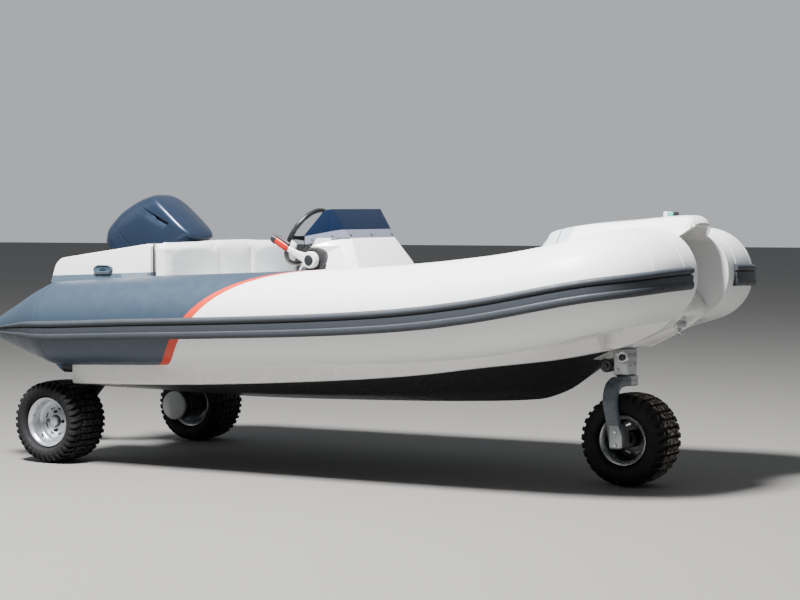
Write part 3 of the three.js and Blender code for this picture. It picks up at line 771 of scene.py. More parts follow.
def tube_route():
    """Rows of length, x, y, z, outward direction and radius, from the cone's tip to the slot."""
    centre = HALF_BEAM - TUBE_RADIUS
    cone = np.concatenate([[-0.375, -0.363, -0.350], np.linspace(-0.32, SIDE_START, 16)])
    rows = [[from_axle(x), centre, z, 0, 1, radius]
            for x, (radius, z) in zip(cone, smooth_through(STERN_CONE, cone))]
    rows += [[x, centre, tube_height(x), 0, 1, side_radius(x)]
             for x in np.arange(from_axle(0.3), BOW_START, 0.1)]
    slot_turn = math.acos((SLOT_HALF * 1.17 / HALF_BEAM) ** (BOW_POWER / 2))
    rows += [bow_station(turn) for turn in np.linspace(0, slot_turn, 46)]
    rows.append(bow_station(math.acos((SLOT_HALF / HALF_BEAM) ** (BOW_POWER / 2))))
    table = np.array(rows)
    steps = np.linalg.norm(np.diff(table[:, :3], axis=0), axis=1)
    length = table[0, 0] + np.concatenate([[0], np.cumsum(steps)])
    return np.column_stack([length, table])


ROUTE = tube_route()
TUBE_END = ROUTE[-1, 0]


def route_at(length):
    """The route's row at a length along the tube; on the straight side length is x."""
    return np.array([np.interp(length, ROUTE[:, 0], ROUTE[:, i]) for i in range(7)])


def on_tube(row, side, degrees, proud=0.0):
    """A point on the tube's skin, at an angle up from its outermost line."""
    _, x, y, z, out_x, out_y, radius = row
    reach, rise = (f(math.radians(degrees)) * (radius + proud) for f in (math.cos, math.sin))
    return Vector((x + reach * out_x, side * (y + reach * out_y), z + rise))


print("tube route", len(ROUTE), "rows, ends at", round(TUBE_END, 3), "m")

# %% [markdown]
# Rings along the route make the tube's skin. The last ring lies flat on the wall of the bow
# slot, and three small rings close the stern as a dome.

# %% Tube skins
def swept(name, rows, side, section):
    """A body along the route; section gives (degrees, proud) points for a row."""
    rings, uv = [], []
    for row in rows:
        outline = section(row)
        rings.append([on_tube(row, side, *point) for point in outline])
        uv += [(row[0], math.radians(degrees) * TUBE_RADIUS) for degrees, _ in outline]
    return loft(name, rings, uv=uv)


def tube_mesh(name, side):
    rings = [[on_tube(row, side, 360 * k / ROUND - 180) for k in range(ROUND)] for row in ROUTE]
    for point in rings[-1]:
        point.y = side * SLOT_HALF
    tip = ROUTE[0]
    domes = [[Vector((tip[1] - back, p.y * k + side * tip[2] * (1 - k), p.z * k + tip[3] * (1 - k)))
              for p in rings[0]] for back, k in ((0.011, 0.4), (0.008, 0.75), (0.003, 0.94))]
    uv = [(row[0], 2 * math.pi * (k / ROUND - 0.5) * TUBE_RADIUS)
          for row in [tip] * len(domes) + list(ROUTE) for k in range(ROUND)]
    return loft(name, domes + rings, uv=uv)


def unwrap_seam(mesh, around):
    """Faces across the UV map's joint get a whole turn added, so that nothing smears there."""
    layer = mesh.uv_layers["along"].data
    for face in mesh.polygons:
        spread = [layer[i].uv.y for i in face.loop_indices]
        if len(spread) == 4 and max(spread) - min(spread) > around / 2:
            for i in face.loop_indices:
                if layer[i].uv.y < 0:
                    layer[i].uv.y += around


for name, side in SIDES:
    node = "tube_" + name
    skin = tube_mesh("tube_skin_" + name, side)
    unwrap_seam(skin, 2 * math.pi * TUBE_RADIUS)
    piece("tube_skin_" + name, skin, TUBE_FABRIC, node, node, smooth=math.radians(60))
print("tube length", round(TUBE_END - ROUTE[0, 0], 3), "m")

# %% [markdown]
# Where two panels of fabric meet they are lapped and glued, which leaves a low flat tape round
# the tube. Real tapes stand only a millimetre proud, but that edge catches the light, so each
# one is a thin closed ring rather than a bump.

# %% Seam tapes
TAPE_WIDTH, TAPE_PROUD, TAPE_EDGE, TAPE_SUNK = 0.034, 0.0011, 0.0012, 0.003
SEAM_PLACES = {"cone": from_axle(0.062), "middle": from_axle(1.955), "bow_outer": TUBE_END - 0.352,
               "bow_inner": TUBE_END - 0.137}


def tape_mesh(name, side, start):
    middle, end = start + TAPE_WIDTH / 2, start + TAPE_WIDTH
    rows = [(start, -TAPE_SUNK), (start + TAPE_EDGE, TAPE_PROUD), (middle, TAPE_PROUD),
            (end - TAPE_EDGE, TAPE_PROUD), (end, -TAPE_SUNK), (middle, -TAPE_SUNK - 0.001)]
    return loft(name, [[on_tube(route_at(length), side, 360 * k / ROUND - 180, out)
                        for k in range(ROUND)] for length, out in rows], close_rings=True)


def tape_finish():
    """The tube's own colours without the band: slate aft and white forward."""
    made = Finish("seam tape", WHITE_SKIN)
    x, _, _ = made.place()
    made.set("Base Color", made.mix(x.above(from_axle(1.0)), SLATE_SKIN, WHITE_SKIN))
    made.set("Roughness", made.patchy(20, 5, 0.3, 0.7, 0.36, 0.46))
    return made.material


SEAM_TAPE = tape_finish()
for name, side in SIDES:
    for where, start in SEAM_PLACES.items():
        title = f"seam_{where}_{name}"
        piece(title, tape_mesh(title, side, start), SEAM_TAPE, "tube_" + name)
print("seams", len(SEAM_PLACES) * len(SIDES))

# %% [markdown]
# The rubbing strake is one rubber extrusion: two round ribs with a flat band between them and
# a dark groove beside each rib. Its section is drawn from a formula of the place across it,
# which gives round ribs from few numbers, and it is swept along the same route as the tube.

# %% Strakes
STRAKE_HALF_ANGLE = 13.5
STRAKE_DROP, STRAKE_LIFT = 8.5, 6.5      # degrees below the widest line aft, and how much it rises
STRAKE_REACH = 3.415                     # it has risen fully so far ahead of the axle
STRAKE_STOP = 0.268
STRAKE_FULL = 0.12                       # on a cone thinner than this it gets flatter
UPPER_RIB, LOWER_RIB = (0.69, 0.30), (-0.62, 0.36)     # middle and half width
RIB_PROUD, BAND_PROUD, GROOVE_PROUD, LIP_PROUD = 0.0215, 0.014, 0.003, 0.002
BAND_EDGE = 0.29


def strake_proud(part):
    """How far the strake stands off the tube, from -1 at its lower edge to 1 at its upper edge."""
    middle, half = UPPER_RIB if part > 0 else LOWER_RIB
    rib = 1 - ((part - middle) / half) ** 2
    inward = abs(part) < abs(middle)
    floor = LIP_PROUD if not inward else GROOVE_PROUD if part > 0 else BAND_PROUD
    if rib > 0:
        return floor + (RIB_PROUD - floor) * math.sqrt(rib)
    return BAND_PROUD if -0.4 < part < BAND_EDGE else floor


def strake_middle(row):
    """The strake's middle, in degrees up from the tube's widest line."""
    part = min(max((row[1] - REAR_AXLE_X) / STRAKE_REACH, 0), 1)
    return STRAKE_LIFT * part ** 3 - STRAKE_DROP


def strake_section(row):
    cone, middle = min(1, row[6] / STRAKE_FULL), strake_middle(row)
    turns = np.cos(np.linspace(math.pi, 0, 15))
    lower, upper = (middle_part + half * turns for middle_part, half in (LOWER_RIB, UPPER_RIB))
    between = [-0.12, 0.1, BAND_EDGE * 0.999, BAND_EDGE + 0.02]
    parts = np.concatenate([[-1], lower, between, upper, [1]])
    inner = [(1, -0.006), (0, -0.008), (-1, -0.006)]
    return [(middle + part * STRAKE_HALF_ANGLE, proud) for part, proud in
            [(part, strake_proud(part) * cone) for part in parts] + inner]


def trimmed(mesh, place, direction):
    """Cuts away everything on the far side of a plane and closes the cut."""
    with bmesh_of(mesh) as bm:
        shape = list(bm.verts) + list(bm.edges) + list(bm.faces)
        cut = bmesh.ops.bisect_plane(bm, geom=shape, plane_co=place, plane_no=direction,
                                     clear_outer=True)
        edges = [item for item in cut["geom_cut"] if isinstance(item, bmesh.types.BMEdge)]
        bmesh.ops.holes_fill(bm, edges=edges, sides=0)
        bmesh.ops.recalc_face_normals(bm, faces=bm.faces)
    return mesh


for name, side in SIDES:
    node = "strake_" + name
    strip = trimmed(swept("strake_strip_" + name, ROUTE, side, strake_section),
                    (0, side * STRAKE_STOP, 0), (0, -side, 0))
    piece("strake_strip_" + name, strip, STRAKE_RUBBER, node, node)
print("strake width", round(2 * math.radians(STRAKE_HALF_ANGLE) * TUBE_RADIUS * 1000), "mm")

# %% [markdown]
# The hull is a shallow vee with hard chines, white above them and black antifouling paint
# below. Its sections are carried smoothly along the boat and the cockpit well is then cut out
# of it. The paint line is a material choice by face, so it follows the chine exactly.

# %% Hull
HULL_SECTIONS = [  # distance from the axle, keel, chine, chine half breadth, top half breadth, top
    (0.130, 0.365, 0.445, 0.690, 0.700, 0.690), (0.830, 0.349, 0.468, 0.700, 0.712, 0.690),
    (1.830, 0.368, 0.528, 0.698, 0.712, 0.740), (2.320, 0.387, 0.572, 0.660, 0.685, 0.770),
    (2.680, 0.413, 0.620, 0.570, 0.620, 0.800), (2.850, 0.467, 0.640, 0.490, 0.560, 0.830),
    (2.970, 0.549, 0.655, 0.410, 0.500, 0.850), (3.040, 0.617, 0.668, 0.330, 0.450, 0.870),
    (3.150, 0.680, 0.692, 0.240, 0.380, 0.880)]
WELL_PLAN = [(0.19, 0.5), (2.45, 0.5), (2.76, 0.33)]
SHELF_SIDE = ((3.05, 0.5), (3.33, 0.5), (3.33, 0.69), (3.05, 0.69))
SHELF_HALF = 0.13
DECK = 0.6
CHINE_FLAT = 0.018
PAINT_DROP = 0.004                       # the paint line lies so far under the chine


def hull_ring(place):
    keel, chine, half, top_half, top = smooth_through(HULL_SECTIONS, [place])[0]
    one = [(0.0, keel), (half * 0.5, keel + (chine - keel) * 0.42),
           (half - CHINE_FLAT, chine - 0.006), (half, chine), (half + 0.004, chine + 0.014),
           (top_half, top)]
    return [at(place, y, z) for y, z in [(-y, z) for y, z in reversed(one[1:])] + one]


def carve(made, *cutters):
    """Takes closed bodies out of a piece."""
    for cutter in cutters:
        tool = link("cutter", cutter)
        step = made.modifiers.new("cut", "BOOLEAN")
        step.operation, step.solver, step.object = "DIFFERENCE", "MANIFOLD", tool
        baked(made)
        bpy.data.objects.remove(tool)
    return made


places = np.concatenate([np.linspace(0.13, 2.3, 16), np.linspace(2.38, 3.15, 26)])
hull = link("hull_shell", loft("hull_shell", [hull_ring(place) for place in places]))
plan = [(x, -y) for x, y in WELL_PLAN] + [(x, y) for x, y in reversed(WELL_PLAN)]
well = loft("well", [[at(x, y, z) for x, y in plan] for z in (DECK, 1.4)])
shelf = loft("shelf", [[at(x, y, z) for x, z in SHELF_SIDE]
                       for y in (-SHELF_HALF, SHELF_HALF)])
bevel(carve(hull, well, shelf), 0.004, 2, 35)
complete(hull, [GELCOAT, BOTTOM_BLACK], "hull", ("hull",))
chines = smooth_through(HULL_SECTIONS, places)[:, 1]
for face in hull.data.polygons:
    line = np.interp(face.center.x - REAR_AXLE_X, places, chines) - PAINT_DROP
    face.material_index = int(face.center.z < line and abs(face.normal.x) < 0.98)
print("hull faces", len(hull.data.polygons))

# %% [markdown]
# Moulded parts have generous round corners. A bevel modifier does that well on plain blocks,
# but where two large radii meet it makes a mess, so the hood's sections get their corners
# rounded as outlines first, and only then become a body. Blocks, bars and tubes that many
# pieces need are made here too.


# %% Rounded outlines
def rounded(corners, radius, steps=5):
    """A closed outline with each corner turned into an arc; a corner may bring its own radius."""
    points = []
    count = len(corners)
    for i, corner in enumerate(corners):
        here = Vector(corner[:2])
        before, after = (Vector(corners[(i + k) % count][:2]) - here for k in (-1, 1))
        size = corner[2] if len(corner) > 2 else radius
        half = before.angle(after) / 2
        reach = min(size / math.tan(half), before.length * 0.49, after.length * 0.49)
        size = reach * math.tan(half)
        centre = here + (before.normalized()
                         + after.normalized()).normalized() * (size / math.sin(half))
        start, end = (here + arm.normalized() * reach - centre for arm in (before, after))
        turn = start.angle_signed(end)
        for k in range(steps + 1):
            points.append(centre + Matrix.Rotation(-turn * k / steps, 2) @ start)
    return points


def oblong(half, thick, radius, steps):
    """A rounded rectangle about the origin."""
    return rounded([(-half, -thick), (half, -thick), (half, thick), (-half, thick)], radius, steps)


def plate(name, corners, y0, y1, radius=0.0, steps=5):
    """A side outline of (distance from the axle, height), carried across the boat."""
    outline = rounded(corners, radius, steps) if radius else [Vector(spot[:2]) for spot in corners]
    return loft(name, [[at(x, y, z) for x, z in outline] for y in (y0, y1)])


print("outline helpers ready")

# %% [markdown]
# Small fittings are put together from plain bodies: a soft-edged block, a round bar and a
# pipe along a path. The last helper joins several bodies into one mesh.

# %% Plain bodies
def soft_block(name, corner, other, radius):
    """A box between two corners, with all its edges rounded."""
    (x0, y0, z0), (x1, y1, z1) = corner, other
    plan = rounded([(x0, y0), (x1, y0), (x1, y1), (x0, y1)], radius, 4)
    small = rounded([(x0 + radius, y0 + radius), (x1 - radius, y0 + radius),
                     (x1 - radius, y1 - radius), (x0 + radius, y1 - radius)], radius * 0.4, 4)
    rows = [(small, z0), (plan, z0 + radius), (plan, z1 - radius), (small, z1)]
    return loft(name, [[Vector((*point, z)) for point in outline] for outline, z in rows])


def rod(name, start, end, radius, end_radius=None, steps=20):
    """A round bar between two points, with its ends' edges rounded."""
    start, end = Vector(start), Vector(end)
    end_radius = radius if end_radius is None else end_radius
    length = (end - start).length
    turn = Vector((0, 0, 1)).rotation_difference(end - start)
    soft = min(0.15 * min(radius, end_radius), length * 0.3)
    rows = [(radius - soft, 0), (radius, soft), (end_radius, length - soft),
            (end_radius - soft, length)]
    return loft(name, [[start + turn @ point for point in circle(r, steps, z)] for r, z in rows])


def pipe(name, points, radius, closed=False, around=10):
    """A round-sectioned tube through points, made without twist."""
    points = [Vector(point) for point in points]
    count = len(points)
    rings, lift = [], None
    for i, point in enumerate(points):
        before = points[(i - 1) % count] if closed or i else point
        after = points[(i + 1) % count] if closed or i < count - 1 else point
        along = (after - before).normalized()
        if lift is None:
            lift = along.orthogonal().normalized()
        lift = (lift - along * lift.dot(along)).normalized()
        side = along.cross(lift)
        turns = [2 * math.pi * k / around for k in range(around)]
        rings.append([point + (lift * math.cos(turn) + side * math.sin(turn)) * radius
                      for turn in turns])
    return loft(name, rings, close_rings=closed)


def joined(name, *meshes):
    """Several closed bodies as one mesh, each keeping its faces' material numbers."""
    bm = bmesh.new()
    for mesh in meshes:
        bm.from_mesh(mesh)
    whole = bpy.data.meshes.new(name)
    bm.to_mesh(whole)
    bm.free()
    return whole


print("points of a soft square", len(oblong(1, 1, 0.1, 5)))

# %% [markdown]
# The bow hood bridges the two tubes over the slot that the front wheel folds into. Outside it
# is a soft-cornered moulding; inside, an arch that widens to a thin lip at the front.

# %% Bow hood
HOOD_SECTIONS = [  # distance from the axle, top half breadth, base half breadth, top
    (2.893, 0.306, 0.385, 1.262), (2.904, 0.314, 0.394, 1.281), (2.920, 0.318, 0.400, 1.290),
    (3.050, 0.300, 0.400, 1.318), (3.300, 0.210, 0.320, 1.341), (3.535, 0.105, 0.230, 1.360),
    (3.570, 0.094, 0.214, 1.350), (3.592, 0.080, 0.200, 1.320)]
HOOD_BASE = 1.15
HOOD_GREY_END, HOOD_SEAM = 3.035, 2.972
ARCH = [(0.195, 1.10, 0.004), (0.195, 1.235, 0.03), (0.150, 1.262, 0.03), (0.068, 1.306, 0.04)]
LIP_TRIM = [(3.480, 1.10), (3.80, 1.10), (3.80, 1.40), (3.601, 1.40), (3.588, 1.309),
            (3.542, 1.262), (3.500, 1.210)]
# The hood is grey aft of HOOD_GREY_END: a grey cover, whose grey is also painted shade on the faces
# that turn aft.
HOOD_GEL = gelcoat_finish("hood gelcoat", WHITE_GEL, WHITE_GEL_SHADE, (0.50, 0.52, 0.54),
                          lambda x: x.below(from_axle(HOOD_GREY_END)))


def arch_over(half, place):
    """A ring of an outline whose starboard half mirrors the port one."""
    outline = half + [(-y, *rest) for y, *rest in reversed(half)]
    return [at(place, y, z) for y, z in rounded(outline, 0, 6)]


def hood_ring(place):
    top, base, high = smooth_through(HOOD_SECTIONS, [place])[0]
    return arch_over([(base, HOOD_BASE, 0.004), (base, HOOD_BASE + 0.06, 0.05),
                      (top, high - 0.006, 0.045), (top * 0.5, high + 0.003, 0.2)], place)


hood = link("hood_shell",
            loft("hood_shell", [hood_ring(place) for place in np.linspace(2.893, 3.592, 40)]))
carve(hood, loft("arch", [arch_over(ARCH, place) for place in (3.08, 3.70)]),
      plate("lip", LIP_TRIM, -0.7, 0.7, 0.012))
bevel(hood, 0.004, 3, 40)
complete(hood, [HOOD_GEL], "bow_hood", ("bow_hood",), math.radians(50))
seam_line = loft("hood_seam", [[point + Vector((0, 0, 0.0009)) for point in hood_ring(place)]
                               for place in (HOOD_SEAM, HOOD_SEAM + 0.004)])
piece("hood_seam", seam_line, BLACK_PLASTIC, "bow_hood")
print("hood faces", len(hood.data.polygons))

# %% [markdown]
# The ramp, nose, transom and pods keep their solids' outlines and only need softened edges
# and a gelcoat surface. The pods also carry a slate strip along their foot, so their mesh is
# split there by a plane and the lower faces take the second finish.

# %% Mouldings
RAMP_CHIN = [(2.90, 0.60), (3.40, 0.60), (3.40, 0.85), (3.25, 0.795), (3.05, 0.735), (2.90, 0.70)]
CHIN_INNER, CHIN_OUTER = 0.1885, 0.70
chins = [plate("chin", RAMP_CHIN, side * CHIN_INNER, side * CHIN_OUTER) for _, side in SIDES]
ramp = carve(link("bow_ramp_shell", merged_copy("bow_ramp")), *chins)
complete(bevel(ramp, 0.006, 3, 45), [GELCOAT], "bow_ramp", ("bow_ramp",), math.radians(62))
dress("bow_nose", GELCOAT, 0.006)
dress("transom", GELCOAT, 0.008)
dress("bow_plate", STAINLESS, 0.0015, 2)
dress("seat_base", GELCOAT, 0.012, 4)

STRIP_PLANE = (at(0, 0, 1.0385), Vector((-0.038, 0, 1)))
STRIP_PANEL = (from_axle(0.455), from_axle(0.632))
STRIP_SLATE = gelcoat_finish("slate gelcoat", (0.085, 0.125, 0.165), None, (0.17, 0.215, 0.25),
                             lambda x: x.above(STRIP_PANEL[0]) * x.below(STRIP_PANEL[1]), 0.24)
POD_CORNER, POD_CORNER_ROUND = (0.0, 1.131), 0.050
POD_FOOT, POD_FOOT_START = (0.95, 1.034), from_axle(-0.03)
POD_SINK = 0.022                         # the pods' foot goes this far into the tubes


def round_corner(mesh, x, z, width, segments=8):
    """Rounds the one edge that crosses the boat at a place of a side outline."""
    with bmesh_of(mesh) as bm:
        near = [edge for edge in bm.edges
                if all(math.hypot(vertex.co.x - from_axle(x), vertex.co.z - z) < 0.004
                       for vertex in edge.verts)]
        bmesh.ops.bevel(bm, geom=near, offset=width, segments=segments, affect="EDGES", profile=0.5)
    return mesh


def split_by_plane(made, place, direction):
    with bmesh_of(made.data) as bm:
        bmesh.ops.bisect_plane(bm, geom=list(bm.verts) + list(bm.edges) + list(bm.faces),
                               plane_co=place, plane_no=direction)


for name, side in SIDES:
    node = "stern_pod_" + name
    shape = round_corner(merged_copy(node), *POD_CORNER, POD_CORNER_ROUND)
    for vertex in shape.vertices:
        if POD_FOOT[0] < vertex.co.z < POD_FOOT[1] and vertex.co.x > POD_FOOT_START:
            vertex.co.z -= POD_SINK
    pod = dress(node, GELCOAT, 0.020, 5, mesh=shape)
    pod.data.materials.append(STRIP_SLATE)
    split_by_plane(pod, *STRIP_PLANE)
    pod.data.set_sharp_from_angle(angle=SMOOTH_UNDER)
    for face in pod.data.polygons:
        face.material_index = int((face.center - STRIP_PLANE[0]).dot(STRIP_PLANE[1]) < 0)
print("pod faces", len(pod.data.polygons))

# %% [markdown]
# Each pod's side has a low cleat: a long soft-cornered hexagon whose face steps in towards the
# middle, with a small dark ring on it. The ring's dark colour is painted shade for the hollow of
# the cleat's dish. The ring is made of small circles round an oval whose corners are squeezed
# out, which a torus cannot do.

# %% Cleats
CLEAT_MIDDLE, CLEAT_FACE = (from_axle(0.3305), 1.078), 0.662
CLEAT_OUTLINE = [(-0.070, -0.010), (-0.060, 0.011), (-0.034, 0.021), (0.036, 0.021), (0.061, 0.011),
                 (0.067, -0.007), (0.050, -0.021), (-0.052, -0.021)]
CLEAT_STEPS = [  # distance out of the pod's side, share of the outline
    (-0.002, 1.0), (0.008, 0.99), (0.0115, 0.94), (0.0115, 0.80), (0.007, 0.66)]
DISH_REACH, DISH_RISE, DISH_THICK, DISH_DEPTH, DISH_OUT = 0.018, 0.0045, 0.0045, 0.003, 0.0075
CLEAT_SLATE = paint_finish("cleat paint", (0.045, 0.072, 0.100), coat=0.3)
CLEAT_DISH_SHADE = paint_finish("cleat dish", (0.020, 0.036, 0.055), coat=0.3)


def oval_ring(name, middle, side, y, steps=40, around=10):
    """A round-sectioned oval frame that lies against the plane y."""
    rings = []
    for k in range(steps):
        a = 2 * math.pi * k / steps
        square = 1 + 0.12 * math.sin(2 * a) ** 2
        flat = Vector((DISH_REACH * math.cos(a), DISH_RISE * math.sin(a) * square))
        out = Vector((DISH_RISE * math.cos(a), DISH_REACH * math.sin(a))).normalized()
        ring = []
        for j in range(around):
            b = 2 * math.pi * j / around
            spot = flat + out * DISH_THICK * math.cos(b)
            out_of_face = side * DISH_DEPTH * math.sin(b)
            ring.append(Vector((middle[0] + spot.x, y + out_of_face, middle[1] + spot.y)))
        rings.append(ring)
    return loft(name, rings, close_rings=True)


(x, z), middle = CLEAT_MIDDLE, Vector(CLEAT_MIDDLE)
outline = [Vector((x + dx, z + dz)) for dx, dz in rounded(CLEAT_OUTLINE, 0.006, 4)]
for name, side in SIDES:
    node, face = "cleat_" + name, side * CLEAT_FACE
    rings = [[Vector((*(middle + (point - middle) * part), face + side * out)).xzy
              for point in outline] for out, part in CLEAT_STEPS]
    piece("cleat_body_" + name, loft("cleat", rings), CLEAT_SLATE, node, node)
    piece("cleat_dish_" + name, oval_ring("dish", CLEAT_MIDDLE, side, face + side * DISH_OUT),
          CLEAT_DISH_SHADE, node)
print("cleats", len(SIDES))

# %% [markdown]
# The bow light has a grey base, a clear green half to starboard, a red half to port and a
# black end. The lenses glow a little, which reads as coloured plastic in daylight.

# %% Bow light
LAMP_AFT, LAMP_FORE = 0.008, 0.006       # the light stands a little ahead of its solid
LENS_FOOT, LENS_TOP, LENS_NARROW = 0.008, 0.003, 0.92
low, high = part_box("bow_light")
low, high = low + Vector((LAMP_AFT, 0, 0)), high + Vector((LAMP_FORE, 0, 0))
LAMP_BASE_END, LAMP_END = low.x + 0.024, high.x - 0.006
lens_low, lens_high = low.z + LENS_FOOT, high.z - LENS_TOP


def lens_finish(name, colour):
    made = Finish(name, colour, roughness=0.12, coat_weight=1.0)
    made.set("Emission Color", made.mix(made.noise(30, 3) * 0.5, colour, shaded(colour, 0.5)))
    made.set("Emission Strength", 0.35)
    return made.material


lamp_base = soft_block("lamp_base", low, (LAMP_BASE_END, high.y, high.z), 0.005)
piece("lamp_base", lamp_base, GELCOAT_GREY, "bow_light", "bow_light")
for (name, side), colour in zip(SIDES, ((0.01, 0.42, 0.28), (0.55, 0.015, 0.01))):
    near, far = sorted((0.0004 * side, side * high.y * LENS_NARROW))
    lens_mesh = soft_block("lens_" + name, (LAMP_BASE_END + 0.0005, near, lens_low),
                           (LAMP_END, far, lens_high), 0.005)
    piece("lamp_lens_" + name, lens_mesh, lens_finish("lens " + name, colour), "bow_light")
lamp_end = soft_block("lamp_end", (LAMP_END + 0.0003, low.y * LENS_NARROW, lens_low),
                      (high.x, high.y * LENS_NARROW, lens_high), 0.0028)
piece("lamp_end", lamp_end, BLACK_PLASTIC, "bow_light")
print("light at", [round(value, 3) for value in high])

# %% [markdown]
# The seat and backrest are foam under marine vinyl. A cloth simulation inflates a slightly
# small block, while the seams and the underside are pinned, so the panels crown between the
# sewn lines as real foam does. Stitches come afterwards, because the remesh would erase them.

# %% Upholstery
VOXEL, PRESSURE, SETTLE_FRAMES = 0.0075, 4.0, 20
SEAMS, GROOVE_HALF, GROOVE_DEPTH = (-0.15, 0.15), 0.012, 0.005
VINYL_PALE, VINYL_DIRTY = (0.70, 0.71, 0.72), (0.55, 0.55, 0.55)


def vinyl_finish():
    made = Finish("marine vinyl", VINYL_PALE, sheen_weight=0.15, sheen_roughness=0.4)
    made.set("Base Color", made.mix(made.noise(5, 6).step(0.4, 0.9) * 0.4, VINYL_PALE, VINYL_DIRTY))
    made.set("Roughness", made.patchy(30, 5, 0.3, 0.7, 0.4, 0.54))
    spots = {"Vector": made.node("ShaderNodeTexCoord", output="Object"), "Scale": 620.0}
    leather = made.node("ShaderNodeTexVoronoi", {"feature": "DISTANCE_TO_EDGE"}, spots, "Distance")
    made.bump(leather.step(0.0, 0.3) + made.noise(90, 4) * 0.8, 0.00022, 0.6)
    return made.material


VINYL = vinyl_finish()
THREAD = plastic_finish("stitching", (0.5, 0.5, 0.5), 0.6)
print("vinyl and thread ready")

# %% [markdown]
# Four steps give a pad its form. Cloth under a little pressure swells it, smoothing takes
# the small wrinkles out, the seams are drawn in, and a subdivision makes the skin finer.

# %% Padding steps
def inflate(made, pinned, cap):
    """Swells a closed block like foam under cloth, holding still the points that pinned says."""
    remesh = made.modifiers.new("remesh", "REMESH")
    remesh.mode, remesh.voxel_size = "VOXEL", VOXEL
    baked(made)
    rest = [vertex.co.copy() for vertex in made.data.vertices]
    group = made.vertex_groups.new(name="held")
    group.add([vertex.index for vertex in made.data.vertices if pinned(vertex.co)], 1.0, "REPLACE")
    cloth = made.modifiers.new("cloth", "CLOTH")
    cloth.settings.use_pressure = True
    cloth.settings.uniform_pressure_force = PRESSURE
    cloth.settings.vertex_group_mass = "held"
    cloth.settings.effector_weights.gravity = 0
    cloth.settings.quality = 4
    cloth.point_cache.frame_start, cloth.point_cache.frame_end = 1, SETTLE_FRAMES
    for step in range(1, SETTLE_FRAMES + 1):
        bpy.context.scene.frame_set(step)
    baked(made)
    bpy.context.scene.frame_set(1)
    for vertex, start in zip(made.data.vertices, rest):
        move = vertex.co - start
        if move.length > cap:
            vertex.co = start + move * (cap / move.length)
    return made


def eased(made):
    """Takes the small wrinkles out and keeps the crown."""
    step = made.modifiers.new("eased", "SMOOTH")
    step.factor, step.iterations = 0.5, 14
    return baked(made)


def finer(made):
    step = made.modifiers.new("finer", "SUBSURF")
    step.levels = step.render_levels = 1
    return baked(made)


def seam_groove(made):
    """Draws the skin in towards the pad's middle along the seams."""
    low, high = (np.array([f(v.co[i] for v in made.data.vertices) for i in range(3)])
                 for f in (min, max))
    middle = Vector((low + high) / 2)
    for vertex in made.data.vertices:
        for seam in SEAMS:
            near = abs(vertex.co.y - seam)
            if near < GROOVE_HALF:
                inward = Vector((middle.x - vertex.co.x, 0, middle.z - vertex.co.z)).normalized()
                vertex.co += inward * GROOVE_DEPTH * (0.5 + 0.5
                                                      * math.cos(math.pi * near / GROOVE_HALF))


print("padding steps ready")

# %% [markdown]
# Each pad fills the space of its own solid. The cushion's foot and the backrest's back are
# held still, as the boards under the foam would hold them.

# %% Cushion and backrest
def pad(node, name, inset, cap, pinned, corner=0.020):
    """One upholstered pad in the space of its solid."""
    low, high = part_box(node)
    low, high = low + Vector(inset), high - Vector(inset)
    made = link(name, soft_block(name, low, high, corner))
    inflate(made, lambda co: pinned(co) or any(abs(co.y - seam) < VOXEL for seam in SEAMS), cap)
    eased(made)
    seam_groove(made)
    finer(made)
    complete(made, [VINYL], node, (node,), math.radians(80))
    return made


cushion_low, cushion_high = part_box("seat_cushion")
cushion = pad("seat_cushion", "bench_cushion", (0.012, 0.012, 0.008), 0.020,
              lambda co: co.z < cushion_low.z + 0.016)
back_low, back_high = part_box("seat_backrest")
backrest = pad("seat_backrest", "bench_backrest", (0.008, 0.008, 0.006), 0.008,
               lambda co: co.x < back_low.x + 0.018, 0.034)
print("pads", [len(made.data.polygons) for made in (cushion, backrest)])

# %% [markdown]
# A dark piping runs up each end of the backrest and bends in at its top, and rows of stitches
# lie beside each seam. A stitch is one small bar of a dozen faces, set on points where rays
# meet the pads, because there are hundreds of them.

# %% Piping and stitches
PIPING, PIPING_BEND = 0.0055, 0.035
PIPING_TOP = back_high.z - 0.045
piping = []
for _, side in SIDES:
    x, y = back_low.x + 0.010, side * (back_high.y - 0.010)
    path = [(x, y, z) for z in np.linspace(back_low.z + 0.01, PIPING_TOP, 8)]
    path += [(x, y - side * PIPING_BEND * (1 - math.cos(a)), PIPING_TOP + PIPING_BEND * math.sin(a))
             for a in np.linspace(0.2, 0.8, 4)]
    piping.append(pipe("piping", path, PIPING))
piece("backrest_piping", joined("backrest_piping", *piping), BLACK_PLASTIC, "seat_backrest")


def surface_points(made, starts, towards):
    """Where rays from the starts meet a piece, with the surface's direction there."""
    found = []
    for start in starts:
        hit, place, normal, _ = made.ray_cast(start, towards)
        if hit:
            found.append((place, normal))
    return found


STITCH_PITCH, STITCH_OFFSET, STITCH_HALF = 0.009, 0.014, 0.0032
stitch = rod("stitch", (0, -STITCH_HALF, 0.0003), (0, STITCH_HALF, 0.0003), 0.0007, steps=5)
for vertex in stitch.vertices:
    vertex.co = vertex.co.yxz
rows = [seam + offset for seam in SEAMS for offset in (-STITCH_OFFSET, STITCH_OFFSET)]
runs = np.arange(cushion_low.x + 0.05, cushion_high.x - 0.03, STITCH_PITCH)
rises = np.arange(back_low.z + 0.03, back_high.z - 0.03, STITCH_PITCH)
seat_places = surface_points(cushion, [Vector((x, y, 1.2)) for y in rows for x in runs],
                             Vector((0, 0, -1)))
back_places = surface_points(backrest, [Vector((back_high.x + 0.3, y, z)) for y in rows
                                        for z in rises], Vector((-1, 0, 0)))
copies_on("cushion_stitches", stitch.copy(), seat_places, THREAD, "seat_cushion")
copies_on("backrest_stitches", stitch, back_places, THREAD, "seat_backrest")
